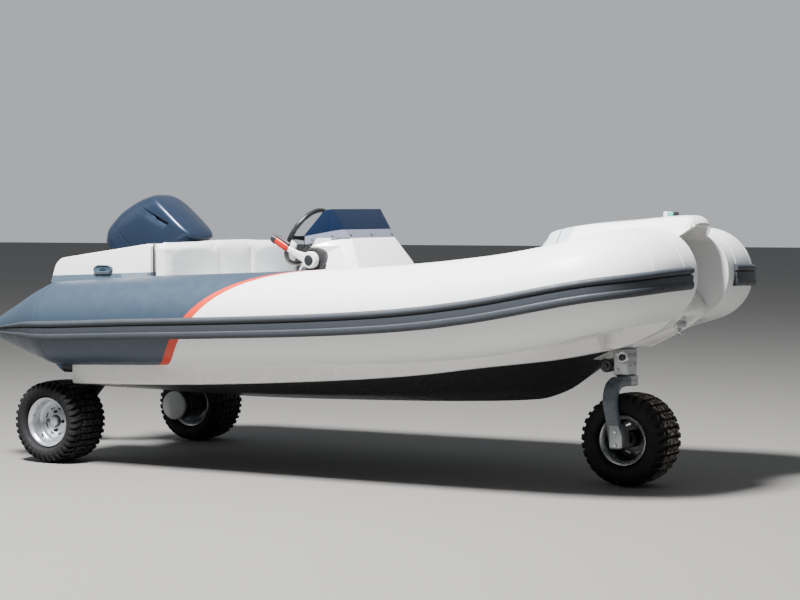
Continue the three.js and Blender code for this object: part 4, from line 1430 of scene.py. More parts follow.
print("stitches", len(seat_places) + len(back_places))

# %% [markdown]
# The console is a single moulding whose sloping after face carries the instruments. Each dial
# is turned on the slope's own axes, so a small helper turns pieces made flat on the ground
# (pointing up) to stand on the dash instead.

# %% Console and dash
console = dress("console", GELCOAT, 0.018, 5)
console.data.set_sharp_from_angle(angle=math.radians(60))
DASH_SLOPE = math.atan2(54, 95)
DASH_OUT = Vector((-math.cos(DASH_SLOPE), 0, math.sin(DASH_SLOPE)))
DASH_FOOT = at(1.403, 0, 1.110)
DASH_UP = Vector((math.sin(DASH_SLOPE), 0, math.cos(DASH_SLOPE)))


def on_dash(mesh, across, up):
    """Stands a mesh made on the ground (up is +Z, its top edge +X) on the dash.

    The place is in metres to port and up the slope.
    """
    turn = Matrix((DASH_UP, Vector((0, 1, 0)), DASH_OUT)).transposed()
    spot = DASH_FOOT + Vector((0, across, 0)) + DASH_UP * up
    mesh.transform(Matrix.Translation(spot) @ turn.to_4x4())
    return mesh


print("dash slope", round(math.degrees(DASH_SLOPE), 1), "degrees")

# %% [markdown]
# A dial is a bezel, a white face and a needle. The ticks are drawn by the shader from the
# face's own flat coordinates, so no picture is needed.

# %% Dials
DIAL_RADIUS, BEZEL, DIAL_GLASS = 0.041, 0.006, 0.036
DIAL_WHITE, DIAL_INK, TICK_TURN = (0.8, 0.8, 0.78), (0.02, 0.02, 0.02), 22.5
DIALS = [("speed_dial", 0.045, 130), ("engine_dial", 0.150, -150)]  # name, place to port, pointer


def dial_finish():
    """A white dial with plain tick marks, drawn from its own flat coordinates."""
    made = Finish("dial face", DIAL_WHITE, roughness=0.3, coat_weight=1.0)
    u, v = made.along()
    radius = (u * u + v * v) ** 0.5
    turn = v.maths("ARCTAN2", u) * (180 / math.pi) + 360
    tick = abs((turn / TICK_TURN).maths("FRACT") - 0.5).above(0.45, 0.01)
    ring = radius.above(0.027, 0.0004) * radius.below(0.034, 0.0004)
    made.set("Base Color", made.mix(tick * ring, DIAL_WHITE, DIAL_INK))
    made.bump(made.noise(200, 2), 0.0001, 0.2)
    return made.material


DASH_BLACK = plastic_finish("dash panel", (0.020, 0.021, 0.024), 0.42)
DIAL = dial_finish()
NEEDLE_RED = paint_finish("needle", (0.55, 0.02, 0.01))
GLASS_BLACK = paint_finish("display glass", (0.004, 0.006, 0.010), coat=1.0, low=0.08, high=0.14)
panel = soft_block("dash_panel", (0, -0.285, -0.004), (0.148, 0.285, 0.004), 0.002)
piece("dash_panel", on_dash(panel, 0.0, 0.010), DASH_BLACK, "console")


def dial(name, across, up, pointer):
    rim = [(DIAL_RADIUS - BEZEL, 0.004), (DIAL_RADIUS - BEZEL, 0.012), (DIAL_RADIUS - 0.003, 0.015),
           (DIAL_RADIUS, 0.012), (DIAL_RADIUS + 0.002, 0.002), (DIAL_RADIUS - BEZEL, 0.002)]
    bezel = revolve("bezel", rim, (0, 0, 0), "Z", 40)
    piece(name + "_bezel", on_dash(bezel, across, up), STAINLESS, "console")
    rings = [circle(DIAL_GLASS, 40, z) for z in (0.0045, 0.0075)]
    face = loft("face", rings, uv=[(point.x, point.y) for ring in rings for point in ring])
    piece(name + "_face", on_dash(face, across, up), DIAL, "console")
    tip = Matrix.Rotation(math.radians(pointer), 3, "Z") @ Vector((0.028, 0, 0))
    hand = joined("hand", rod("hand", (0, 0, 0.0095), (tip.x, tip.y, 0.0095), 0.0016, 0.0006, 8),
                  rod("boss", (0, 0, 0.0075), (0, 0, 0.012), 0.005, steps=16))
    piece(name + "_needle", on_dash(hand, across, up), NEEDLE_RED, "console")


for name, across, pointer in DIALS:
    dial(name, across, 0.090, pointer)
print("dials", [name for name, *_ in DIALS])

# %% [markdown]
# A chart screen and a row of rocker switches fill the rest of the dash. The switches differ
# only in their place, so a loop makes them.

# %% Chart screen and switches
CHART, SWITCHES, SWITCH_PITCH = (-0.050, 0.088), (-0.055, 0.030), 0.036
screen = soft_block("chart_screen", (-0.045, -0.055, 0.003), (0.045, 0.055, 0.016), 0.004)
piece("chart_screen", on_dash(screen, *CHART), DASH_BLACK, "console")
pane = soft_block("chart_glass", (-0.036, -0.047, 0.014), (0.036, 0.047, 0.0175), 0.0015)
piece("chart_glass", on_dash(pane, *CHART), GLASS_BLACK, "console")
for k in range(7):
    base = soft_block("rocker", (-0.014, -0.008, 0.003), (0.014, 0.008, 0.009), 0.0025)
    cap = soft_block("cap", (-0.010, -0.006, 0.008), (0.002, 0.006, 0.0125), 0.002)
    rocker = joined("rocker", base, cap)
    on_dash(rocker, SWITCHES[0] + SWITCH_PITCH * k, SWITCHES[1])
    piece(f"rocker_switch_{k + 1}", rocker, BLACK_PLASTIC, "console")

# %% [markdown]
# The windscreen is one bent sheet of tinted acrylic, screwed to the outside of the console.
# Its foot shows lighter, because the white console lies behind it. The shader makes that
# strip from the height, and the screws sit on the panes' own planes.

# %% Windscreen
SCREEN_BASE = [(1.450, 0.346, 1.212), (1.617, 0.268, 1.246), (1.660, 0.228, 1.246)]
SCREEN_TOP = [(1.440, 0.330, 1.266), (1.530, 0.272, 1.396), (1.558, 0.240, 1.400)]
STRIP_TOP, STRIP_FALL = 1.290, 0.2       # the pale foot's top, and how it falls aft of the bend
SCREEN_TINT, SCREEN_FOOT = (0.005, 0.011, 0.028), (0.15, 0.16, 0.21)
SCREW_RISE = 0.017


def screen_finish():
    made = Finish("tinted acrylic", SCREEN_TINT)
    x, _, z = made.place()
    aft_of_bend = (x - from_axle(SCREEN_BASE[1][0])).maths("MINIMUM", 0)
    foot = (z - aft_of_bend * STRIP_FALL).below(STRIP_TOP, 0.0012)
    made.set("Base Color", made.mix(foot, SCREEN_TINT, SCREEN_FOOT))
    made.set("Roughness", made.patchy(25, 5, 0.3, 0.8, 0.05, 0.11))
    made.set("Alpha", foot * 0.1 + 0.9)
    made.set("Specular IOR Level", 0.3)
    return made.material


dress("windscreen", screen_finish(), 0.003, 3)
screen_points = []
for _, side in SIDES:
    base, top = ([at(x, side * y, z) for x, y, z in table] for table in (SCREEN_BASE, SCREEN_TOP))
    for k, fractions in ((0, (0.22, 0.80)), (2, (0.05, 0.5) if side < 0 else (0.05,))):
        first = base[k]
        second = base[1] if k == 0 else Vector((first.x, -first.y, first.z))
        rise = (top[k] - first).normalized()
        out = (second - first).cross(rise).normalized()
        out = out if out.dot(first - at(1.35, 0, 1.2)) > 0 else -out
        screen_points += [(first.lerp(second, part) + rise * SCREW_RISE, out) for part in fractions]
copies_on("screen_screws", screw_head(0.0075, 0.0045), screen_points, BLACK_PLASTIC, "windscreen")
print("screen screws", len(screen_points))

# %% [markdown]
# The steering wheel turns about an axis tilted back thirty degrees. It is made flat, as a
# wheel on a table, and its mesh is then turned and moved as a whole, so its object stays at
# the origin and the joint turns it correctly.

# %% Steering wheel
HELM_SLOPE = math.radians(30)
HELM_OUT = Vector((-math.cos(HELM_SLOPE), 0, math.sin(HELM_SLOPE)))
HELM_PLACE = at(1.370, -0.2, 1.25)
HELM_RADIUS, GRIP_RADIUS = 0.165, 0.0135
to_helm = Matrix.Translation(HELM_PLACE) @ (
    Vector((0, 0, 1)).rotation_difference(HELM_OUT).to_matrix().to_4x4())
grip = pipe("grip", circle(HELM_RADIUS, 96), GRIP_RADIUS, closed=True, around=16)
for vertex in grip.vertices:
    turn = math.atan2(vertex.co.y, vertex.co.x)
    middle = Vector((math.cos(turn), math.sin(turn), 0)) * HELM_RADIUS
    dent = 1 - 0.10 * max(0.0, math.cos(turn * 15)) ** 6
    vertex.co = middle + (vertex.co - middle) * dent
spokes = []
for degrees in (90, 180, 270):
    rows = []
    for reach, half, thick, drop in ((0.026, 0.019, 0.005, -0.010), (0.070, 0.013, 0.0045, -0.010),
                                     (0.120, 0.011, 0.0045, -0.006), (0.158, 0.015, 0.005, -0.001)):
        outline = oblong(half, thick, 0.003, 3)
        rows.append([Matrix.Rotation(math.radians(degrees), 3, "Z")
                     @ Vector((reach, p.x, p.y + drop)) for p in outline])
    spokes.append(loft("spoke", rows))
hub = revolve("hub", [(0.0001, -0.029), (0.030, -0.029), (0.037, -0.018), (0.038, -0.004),
                      (0.033, 0.003), (0.026, 0.004), (0.025, 0.0055), (0.012, 0.008),
                      (0.0001, 0.008)], (0, 0, 0), "Z", 48)
wheel = joined("helm_wheel", grip, *spokes, hub)
wheel.transform(to_helm)
GRIP_BLACK = rubber_finish("helm grip", (0.012, 0.012, 0.013), 0.28, 0.4)
piece("helm_wheel", wheel, GRIP_BLACK, "steering_wheel", "steering_wheel")
dress("helm_boss", BLACK_PLASTIC, 0.004, 3)
print("helm at", [round(value, 3) for value in HELM_PLACE])

# %% [markdown]
# The throttle is a control head on the console's side: a black disc, a white lever that swings
# on it, and a red grip with a black trigger edge.

# %% Throttle
THROTTLE = at(1.510, 0, 1.131)
LEVER_TURN = math.radians(153)
LEVER_LENGTH, GRIP_LENGTH = 0.150, 0.112
lever_along = Vector((math.cos(LEVER_TURN), 0, math.sin(LEVER_TURN)))
lever_across = Vector((-math.sin(LEVER_TURN), 0, math.cos(LEVER_TURN)))
disc = revolve("disc", [(0.0001, -0.300), (0.067, -0.300), (0.067, -0.352), (0.062, -0.3605),
                        (0.052, -0.362), (0.050, -0.359), (0.046, -0.359), (0.045, -0.362),
                        (0.0001, -0.362)], THROTTLE, "Y", 64)
piece("throttle_head", disc, BLACK_PLASTIC, "throttle_disc", "throttle_disc")


def lever_block(name, rows, radius=0.006):
    """A body along the lever: rows of place along, half width, middle y, half thickness, lift."""
    rings = []
    for along, half, y, thick, lift in rows:
        outline = rounded([(-half, y - thick), (half, y - thick), (half, y + thick),
                           (-half, y + thick)], min(radius, thick * 0.9), 4)
        rings.append([THROTTLE + lever_along * along + lever_across * (p.x + lift)
                      + Vector((0, p.y, 0)) for p in outline])
    return loft(name, rings)


hub = revolve("hub", [(0.0001, -0.3625), (0.040, -0.3625), (0.045, -0.368), (0.045, -0.392),
                      (0.040, -0.3995), (0.021, -0.400), (0.0001, -0.400)], THROTTLE, "Y", 48)
arm = lever_block("arm", [(0.0, 0.034, -0.381, 0.012, 0), (0.05, 0.024, -0.387, 0.012, 0.006),
                          (0.09, 0.017, -0.394, 0.011, 0.008),
                          (LEVER_LENGTH, 0.014, -0.403, 0.010, 0.004)])
LEVER_WHITE = paint_finish("lever paint", (0.78, 0.78, 0.77), coat=0.5)
piece("throttle_arm", joined("throttle_arm", hub, arm), LEVER_WHITE, "throttle_lever",
      "throttle_lever")
cap = revolve("cap", [(0.0001, -0.3995), (0.027, -0.3995), (0.028, -0.402), (0.025, -0.405),
                      (0.0001, -0.406)], THROTTLE, "Y", 32)
piece("throttle_cap", cap, BLACK_PLASTIC, "throttle_lever")
start = LEVER_LENGTH - 0.012
grip_rows = [(start, 0.016, -0.402, 0.012, 0.005), (start + 0.02, 0.019, -0.404, 0.015, 0.004),
             (start + 0.07, 0.019, -0.406, 0.015, 0.001),
             (start + GRIP_LENGTH, 0.016, -0.407, 0.013, -0.002)]
GRIP_RED = rubber_finish("lever grip", (0.40, 0.008, 0.005), 0.3, 0.42)
piece("throttle_grip", lever_block("throttle_grip", grip_rows, 0.011), GRIP_RED, "throttle_lever")
edge_path = [THROTTLE + lever_along * along + lever_across * across + Vector((0, -0.405, 0))
             for along, across in ((start + 0.005, -0.018), (start + 0.03, -0.021),
                                   (start + 0.08, -0.021), (start + GRIP_LENGTH + 0.004, -0.012),
                                   (start + GRIP_LENGTH + 0.006, 0.008))]
grip_end = lever_block("grip_end", [(start + GRIP_LENGTH - 0.022, 0.021, -0.406, 0.016, 0.002),
                                    (start + GRIP_LENGTH + 0.004, 0.019, -0.407, 0.0145, -0.001)],
                       0.011)
trigger = joined("throttle_trigger", pipe("trigger", edge_path, 0.0105), grip_end)
piece("throttle_trigger", trigger, BLACK_PLASTIC, "throttle_lever")
print("lever reaches", round(LEVER_LENGTH + GRIP_LENGTH, 3), "m")

# %% [markdown]
# A tyre is a smooth carcass with rubber blocks on it. The blocks are crosses in staggered
# rows, with long blocks over each shoulder. One unit of two rows is drawn flat as outlines,
# bent onto the tyre's crown, and turned round the axle by the copying recipe.

# %% Tyres
LUG, DRAFT = 0.017, 1.14
# The last number is the share of sand on the block tops. It is also a painted highlight, and the
# rear tyres get little of it as painted shade.
TYRES = {  # centre, radius, half width, rim radius, units of two rows, share of dust on the blocks
    "rear_tyre_starboard": ((from_axle(0), -0.649, 0.2275), 0.2275, 0.145, 0.1375, 18, 0.10),
    "rear_tyre_port": ((from_axle(0), 0.649, 0.2275), 0.2275, 0.145, 0.1375, 18, 0.10),
    "front_tyre": ((from_axle(3.2), 0.0, 0.235), 0.235, 0.132, 0.1275, 16, 0.75)}
CROSS = ((1, 1), (1, 0.28), (0.52, 0), (1, -0.28), (1, -1), (0.3, -1), (0, -0.55), (-0.3, -1),
         (-1, -1), (-1, -0.28), (-0.52, 0), (-1, 0.28), (-1, 1), (-0.3, 1), (0, 0.55), (0.3, 1))


def tyre_finish(name, centre, radius, dust_and_highlight):
    """Black rubber, with sand on the blocks' tops that also serves as a painted highlight."""
    made = Finish(name, (0.02, 0.02, 0.021))
    x, _, z = made.place()
    reach = ((x - centre[0]) ** 2 + (z - centre[2]) ** 2) ** 0.5
    patches = made.noise(42, 6, 0.65).step(0.40, 0.62)
    # Lighter block tops: sand, and a painted highlight where the tops face the light.
    top = reach.step(radius - 0.007, radius - 0.003) * patches * dust_and_highlight
    colour = made.mix(made.noise(7, 6).step(0.4, 0.8) * 0.5, (0.006, 0.006, 0.007),
                      (0.013, 0.013, 0.014))
    made.set("Base Color", made.mix(top, colour, (0.36, 0.32, 0.27)))
    made.set("Roughness", made.patchy(50, 5, 0.3, 0.7, 0.68, 0.80))
    made.set("Specular IOR Level", 0.32)
    made.bump(made.noise(700, 3), 0.0002, 0.4)
    return made.material


def crown(tyre, across):
    """The radius of the blocks' tops at a place across the tread."""
    _, radius, half, *_ = tyre
    return radius - 0.0005 - 0.009 * (across / half) ** 2


def bent(tyre, along, across, radius):
    centre, full, *_ = tyre
    turn = along / full
    return Vector(centre) + Vector((radius * math.sin(turn), across, radius * math.cos(turn)))


print("tyre radii", [row[1] for row in TYRES.values()])

# %% [markdown]
# A tread block narrows a little from its foot to its top, as moulded rubber does. A shoulder
# block bends from the tread's edge over the shoulder to the sidewall.

# %% Tread blocks
def tread_block(tyre, along, across, long, wide):
    """One cross-shaped block: its foot a little wider than its top."""
    rings = []
    for part, depth in ((DRAFT, LUG + 0.003), (1.0, 0.0015), (0.92, 0.0)):
        outline = [(along + u * long * part, across + v * wide * part) for u, v in CROSS]
        rings.append([bent(tyre, a, s, crown(tyre, s) - depth) for a, s in outline])
    return loft("block", rings)


def shoulder_block(tyre, along, side, long):
    """A block from the tread's edge over the shoulder to the sidewall."""
    _, radius, half, *_ = tyre
    outer = [(0.62, 0.0045), (0.80, 0.0075), (0.905, 0.0145), (0.965, 0.030), (0.985, 0.050)]
    inner = [(0.94, 0.056), (0.88, 0.038), (0.62, LUG + 0.008)]
    rings = []
    for edge, part in ((-1, 0.9), (-1, 1.0), (1, 1.0), (1, 0.9)):
        lift = 0.0 if part == 1.0 else -0.0018
        top = [(s, drop - lift) for s, drop in outer]
        ring = []
        for k, (s, drop) in enumerate(top + inner):
            half_long = long * (part if k < len(outer) else DRAFT) * (1.0 if s < 0.9 else 0.82)
            ring.append(bent(tyre, along + edge * half_long + 0.05 * (s - 0.62), side * s * half,
                             radius - drop))
        rings.append(ring)
    return loft("shoulder", rings)


print("block outline", len(CROSS), "points")

# %% [markdown]
# The carcass is turned from half a profile and its mirror. The blocks of one unit are joined
# into one mesh before the recipe turns it round the axle.

# %% Tyre bodies
def carcass_profile(tyre):
    _, radius, half, rim, *_ = tyre
    bead, base = rim - 0.012, radius - LUG
    middle = (bead + base) / 2
    rows = [(bead, 0.60), (rim + 0.004, 0.72), (rim + 0.009, 0.80), (rim + 0.010, 0.86),
            (rim + 0.015, 0.90), (rim + 0.024, 0.955), (middle + 0.012, 0.972),
            (base - 0.022, 0.955), (base - 0.010, 0.90), (base - 0.004, 0.80), (base - 0.001, 0.60),
            (base, 0.30)]
    outer = [(r, s * half) for r, s in rows]
    return outer + [(r, -s) for r, s in reversed(outer)]


for node, tyre in TYRES.items():
    centre, radius, half, rim, units, dust_and_highlight = tyre
    rubber = tyre_finish(node.replace("_", " "), centre, radius, dust_and_highlight)
    carcass = revolve(node + "_carcass", carcass_profile(tyre), centre, "Y", 96)
    piece(node + "_carcass", carcass, rubber, node, node)
    pitch = math.pi * radius / units
    parts = []
    for row in (0, 1):
        spread = ((-0.42, -0.14, 0.14, 0.42), (-0.33, -0.05, 0.23, 0.49))[row]
        parts += [tread_block(tyre, pitch * row, half * s, pitch * 0.36, half * 0.115)
                  for s in spread]
        parts += [shoulder_block(tyre, pitch * (row + 0.35 * (side > 0)), side,
                                 pitch * (0.30, 0.24)[row]) for side in (-1, 1)]
    unit = link(node + "_blocks", joined(node + "_blocks", *parts))
    copies_round(unit, units, centre, (0, 1, 0), rubber, node)
tyre_meshes = [made.data for made in bpy.data.objects
               if "tyre" in made.name and made.type == "MESH"]
print("tyre faces", sum(len(mesh.polygons) for mesh in tyre_meshes))

# %% [markdown]
# Each rim is one turned section with a rolled lip, a stepped barrel and a dished disc. Slots
# are cut through the disc, and the nuts, the cap and the valve are pieces of their own.

# %% Rims
RIMS = {  # centre, side that the disc faces, bead radius, half width
    "rear_rim_starboard": ((from_axle(0), -0.649, 0.2275), -1, 0.1255, 0.1131),
    "rear_rim_port": ((from_axle(0), 0.649, 0.2275), 1, 0.1255, 0.1131),
    "front_rim": ((from_axle(3.2), 0.0, 0.235), 1, 0.1155, 0.10296)}
NUT_CIRCLE, CAP_RADIUS = 0.0525, 0.028
RIM_INSIDE_SHADE = paint_finish("rim inside painted shade", (0.030, 0.034, 0.042), coat=0.3)
NUT_DARK = metal_finish("wheel nuts", (0.10, 0.10, 0.11), 0.25, 0.4)


def rim_section(bead, half):
    lip = [(-0.009, -0.030), (-0.009, -0.018), (-0.005, -0.011), (0.006, -0.002), (0.0095, 0.0),
           (0.012, -0.0012), (0.0122, -0.004), (0.010, -0.0055), (-0.0004, -0.0075)]
    front = [(bead + r, half + s) for r, s in lip]
    back = [(bead + r, -half - s) for r, s in reversed(lip)]
    disc = [(0.0001, 0.041), (0.030, 0.041), (0.034, 0.037), (0.062, 0.036), (0.067, 0.033),
            (0.0665 + 0.020, 0.031), (0.8 * bead, 0.029), (bead - 0.016, 0.032),
            (bead - 0.009, 0.040)]
    under = [(bead - 0.009, 0.026), (bead - 0.016, 0.021), (0.8 * bead, 0.018), (0.034, 0.0225),
             (0.0001, 0.0225)]
    return disc + front + back + under


def arc_slot(centre, side, middle, sweep=0.46, inner=0.069, outer=0.0785, steps=8):
    """A short curved slot through the disc, as a body to cut with."""
    turns = [middle + sweep * (k / steps - 0.5) for k in range(steps + 1)]
    outline = [(outer, a) for a in turns] + [(inner, a) for a in reversed(turns)]
    return [[Vector(centre) + Vector((r * math.cos(a), side * y, r * math.sin(a)))
             for r, a in outline] for y in (0.008, 0.055)]


def ring_of(name, rows, centre, side, steps=48):
    return revolve(name, [(r, side * s) for r, s in rows], centre, "Y", steps)


for node, (centre, side, bead, half) in RIMS.items():
    rim = link(node + "_turned", ring_of(node, rim_section(bead, half), centre, side, 96))
    slots = [loft("slot", arc_slot(centre, side, math.pi / 8 + math.pi / 4 * k)) for k in range(8)]
    carve(rim, joined("slots", *slots))
    bevel(rim, 0.0008, 2, 50)
    complete(rim, [RIM_SILVER, RIM_INSIDE_SHADE], node, (node,))
    # The front rim's disc and barrel take the dark finish: painted shade for the shadow inside the
    # wheel.
    if node == "front_rim":
        for face in rim.data.polygons:
            reach = math.hypot(face.center.x - centre[0], face.center.z - centre[2])
            face.material_index = int(reach < bead - 0.0095 or abs(face.center.y) < 0.055)
    spots = [(Vector(centre) + Vector((NUT_CIRCLE * math.cos(a), side * 0.036, NUT_CIRCLE
                                       * math.sin(a))), (0, side, 0))
             for a in (math.pi / 2 * k for k in range(4))]
    copies_on(node + "_nuts", hex_nut(0.0105, 0.012), spots, NUT_DARK, node)
    cap = ring_of("cap", [(0.0001, 0.038), (CAP_RADIUS, 0.038), (CAP_RADIUS, 0.053), (0.025, 0.059),
                          (0.018, 0.061), (0.0001, 0.0615)], centre, side)
    collar = ring_of("collar", [(0.0285, 0.0385), (0.0345, 0.0385), (0.0335, 0.0435),
                                (0.0285, 0.0435)], centre, side)
    piece(node + "_cap", cap, RIM_SILVER, node)
    piece(node + "_collar", collar, BLACK_PLASTIC, node)
    foot = Vector(centre) + Vector((-0.62 * bead, side * 0.060, -0.66 * bead))
    stem = rod("valve", foot, foot + Vector((0.016, side * 0.022, 0.017)), 0.0048, 0.0036, 16)
    piece(node + "_valve", stem, BLACK_PLASTIC, node)
hub = revolve("front_hub", [(0.0218, -0.034), (0.040, -0.034), (0.044, -0.030), (0.044, 0.0215),
                            (0.0218, 0.0215)], RIMS["front_rim"][0], "Y", 48)
piece("front_hub", hub, BLACK_PLASTIC, "front_rim")
print("rims", len(RIMS))

# %% [markdown]
# The wheels' hydraulic motors are stepped drums with a plain cast face. The rear legs and the
# stern bosses keep their solids' shapes.

# %% Rear legs and wheel motors
CAST_GREY = paint_finish("cast face", (0.36, 0.37, 0.38), coat=0.15, low=0.4, high=0.6)
LEG_BLACK = paint_finish("leg coating", (0.020, 0.022, 0.024), coat=0.25)
for name, side in SIDES:
    node, centre = "wheel_motor_" + name, (from_axle(0), 0, 0.2275)
    face = [(0.0001, 0.377), (0.076, 0.377), (0.081, 0.378),
            (0.084, 0.381), (0.084, 0.392), (0.0001, 0.392)]
    drum = [(0.0001, 0.3915), (0.0855, 0.3915), (0.0855, 0.430), (0.082, 0.433), (0.082, 0.446),
            (0.0855, 0.449), (0.0855, 0.585), (0.080, 0.600), (0.052, 0.610), (0.032, 0.611),
            (0.032, 0.6705), (0.0001, 0.6705)]
    piece(node + "_drum", ring_of("drum", drum, centre, side, 64), LEG_BLACK, node, node)
    piece(node + "_face", ring_of("face", face, centre, side, 64), CAST_GREY, node)
    dress("rear_leg_" + name, LEG_BLACK, 0.007, 4)
    dress("stern_boss_" + name, BLACK_PLASTIC, 0.006, 4)
print("motors", len(SIDES))

# %% [markdown]
# The front leg hangs from a bracket under the bow. Its fork is one bent bar, so its section is
# carried along a smoothed path; an alloy block clamps the axle at its foot, and an alloy
# collar turns under the bracket.

# %% Front leg
FORK_PATH = [(0.0, 3.178, 0.000, 0.530, 0.044, 0.024), (0.084, 3.174, -0.084, 0.529, 0.042, 0.023),
             (0.149, 3.166, -0.143, 0.502, 0.040, 0.018),
             (0.215, 3.165, -0.166, 0.440, 0.040, 0.015),
             (0.326, 3.182, -0.168, 0.330, 0.038, 0.014),
             (0.457, 3.197, -0.168, 0.200, 0.033, 0.014)]


def bar_along(name, path, count, radius):
    """A rounded flat bar: rows of length, x, y, z, half width along the boat, half thickness."""
    rows = smooth_through(path, np.linspace(path[0][0], path[-1][0], count))
    rings = []
    for i, (x, y, z, half, thick) in enumerate(rows):
        before, after = (Vector(rows[k][:3]) for k in (max(i - 1, 0), min(i + 1, count - 1)))
        along = (after - before).normalized()
        across = Vector((0, -along.z, along.y)).normalized()
        outline = oblong(half, thick, radius, 4)
        rings.append([at(x + p.x, y, z) + across * p.y for p in outline])
    return loft(name, rings)


STEER_X, WHEEL_X, BRACKET_FACE = 3.18, from_axle(3.2), from_axle(3.208)
piece("fork_arm", bar_along("fork_arm", FORK_PATH, 40, 0.010), LEG_SLATE, "front_fork",
      "front_fork")
collar = revolve("steering_collar", [(0.0001, 0.506), (0.050, 0.506), (0.055, 0.511),
                                     (0.055, 0.531), (0.052, 0.534), (0.052, 0.538), (0.055, 0.541),
                                     (0.055, 0.552), (0.052, 0.5555), (0.0001, 0.5555)],
                 (from_axle(STEER_X), 0, 0), "Z", 64)
piece("steering_collar", collar, ALLOY, "front_fork")
clamp = loft("axle_block",
             [[at(x, y, z) for x, z in rounded([(3.168, 0.205), (3.236, 0.205), (3.236, 0.262),
                                                (3.216, 0.318), (3.168, 0.318)], 0.007, 4)]
              for y in (-0.1835, -0.096)])
block = bevel(link("axle_block", clamp), 0.002, 2)
complete(block, [ALLOY], "front_fork")
bolts = [rod("bolt", (WHEEL_X, -0.183, z), (WHEEL_X, -0.192, z), 0.008, steps=6)
         for z in (0.218, 0.285)]
piece("axle_bolts", joined("axle_bolts", *bolts), STAINLESS, "front_fork")
dress("front_axle", STAINLESS, 0.002, 2)
dress("front_bracket", ALLOY, 0.005, 3)
dress("leg_pin", BLACK_PLASTIC, 0.003, 3)
washer = revolve("pin_washer", [(0.0175, -0.0605), (0.030, -0.0605), (0.031, -0.066),
                                (0.027, -0.070), (0.0175, -0.070)], (from_axle(3.184), 0, 0.65),
                 "Y", 40)
piece("pin_washer", washer, STAINLESS, "front_bracket")
copies_on("bracket_bolts", hex_nut(0.009, 0.007),
          [((BRACKET_FACE, y, z), (1, 0, 0)) for y in (-0.025, 0.025) for z in (0.613, 0.662)]
          + [((from_axle(3.150), -0.060, z), (0, -1, 0)) for z in (0.585, 0.665)], STAINLESS,
          "front_bracket")
RAM_EYE = at(3.075, 0, 0.602)
ram = joined("ram_end", rod("eye", RAM_EYE + Vector((0, -0.034, 0)),
                            RAM_EYE + Vector((0, 0.034, 0)), 0.034, steps=32),
             rod("rod", RAM_EYE, RAM_EYE + Vector((0.062, 0, 0.010)), 0.017),
             rod("pin", RAM_EYE + Vector((0, -0.044, 0)), RAM_EYE + Vector((0, 0.044, 0)), 0.013))
piece("ram_end", ram, LEG_BLACK, "front_bracket")

# %% [markdown]
# The outboard is drawn upright about its tilt pin and each mesh is then tilted as a whole.
# The cowl's sections are rounded rectangles carried smoothly upwards. Planes cut extra edges
# into it where it has a crease, and the skin under the crease is drawn in a little.

# %% Cowl
TILT_PIN, PARKED_TILT = at(0.09, 0, 0.89), math.radians(40)
MOTOR = Matrix.Translation(TILT_PIN) @ Matrix.Rotation(PARKED_TILT, 4, "Y")
COWL_SIDE = [  # height, aft end, fore end, half breadth
    (0.1303, -0.388, 0.114, 0.150), (0.190, -0.412, 0.118, 0.158), (0.300, -0.400, 0.120, 0.160),
    (0.400, -0.366, 0.122, 0.156), (0.470, -0.333, 0.122, 0.148), (0.520, -0.300, 0.118, 0.1405)]
COWL_TOP = [(0.520, -0.300, 0.118, 0.1405), (0.535, -0.289, 0.117, 0.1375),
            (0.546, -0.275, 0.113, 0.1330), (0.553, -0.258, 0.107, 0.1265),
            (0.5575, -0.235, 0.097, 0.1160), (0.565, -0.170, 0.070, 0.0750),
            (0.570, -0.115, 0.030, 0.0350), (0.571, -0.085, 0.000, 0.0080)]
BELT, BELT_DEPTH = 0.248, 0.005


def rounded_ring(height, aft, fore, half, inset=0.0, steps=96):
    """A rounded rectangle seen from above: a superellipse between its two ends."""
    ring = []
    for k in range(steps):
        turn = 2 * math.pi * k / steps
        u, v = (math.copysign(abs(f(turn)) ** 0.58, f(turn)) for f in (math.cos, math.sin))
        ring.append(Vector(((fore + aft) / 2 + u * ((fore - aft) / 2 - inset), v
                            * (half - inset), height)))
    return ring


heights = sorted([*np.linspace(0.1303, 0.519, 34), BELT - 0.005, BELT - 0.003, BELT + 0.003,
                  BELT + 0.005])
rings = [rounded_ring(z, *row, inset=BELT_DEPTH if abs(z - BELT) < 0.004 else 0)
         for z, row in zip(heights, smooth_through(COWL_SIDE, heights))]
crown_heights = [0.520, 0.528, 0.535, 0.541, 0.546, 0.550, 0.553, 0.5555, 0.5575, 0.561, 0.565,
                 0.568, 0.570, 0.571]
rings += [rounded_ring(z, *row) for z, row in zip(crown_heights,
                                                  smooth_through(COWL_TOP, crown_heights))]
print("cowl rings", len(rings))

# %% [markdown]
# A crease rises along each side of the cowl. The skin under it is drawn in, most at the
# crease itself, and cuts through the mesh keep its edge crisp.

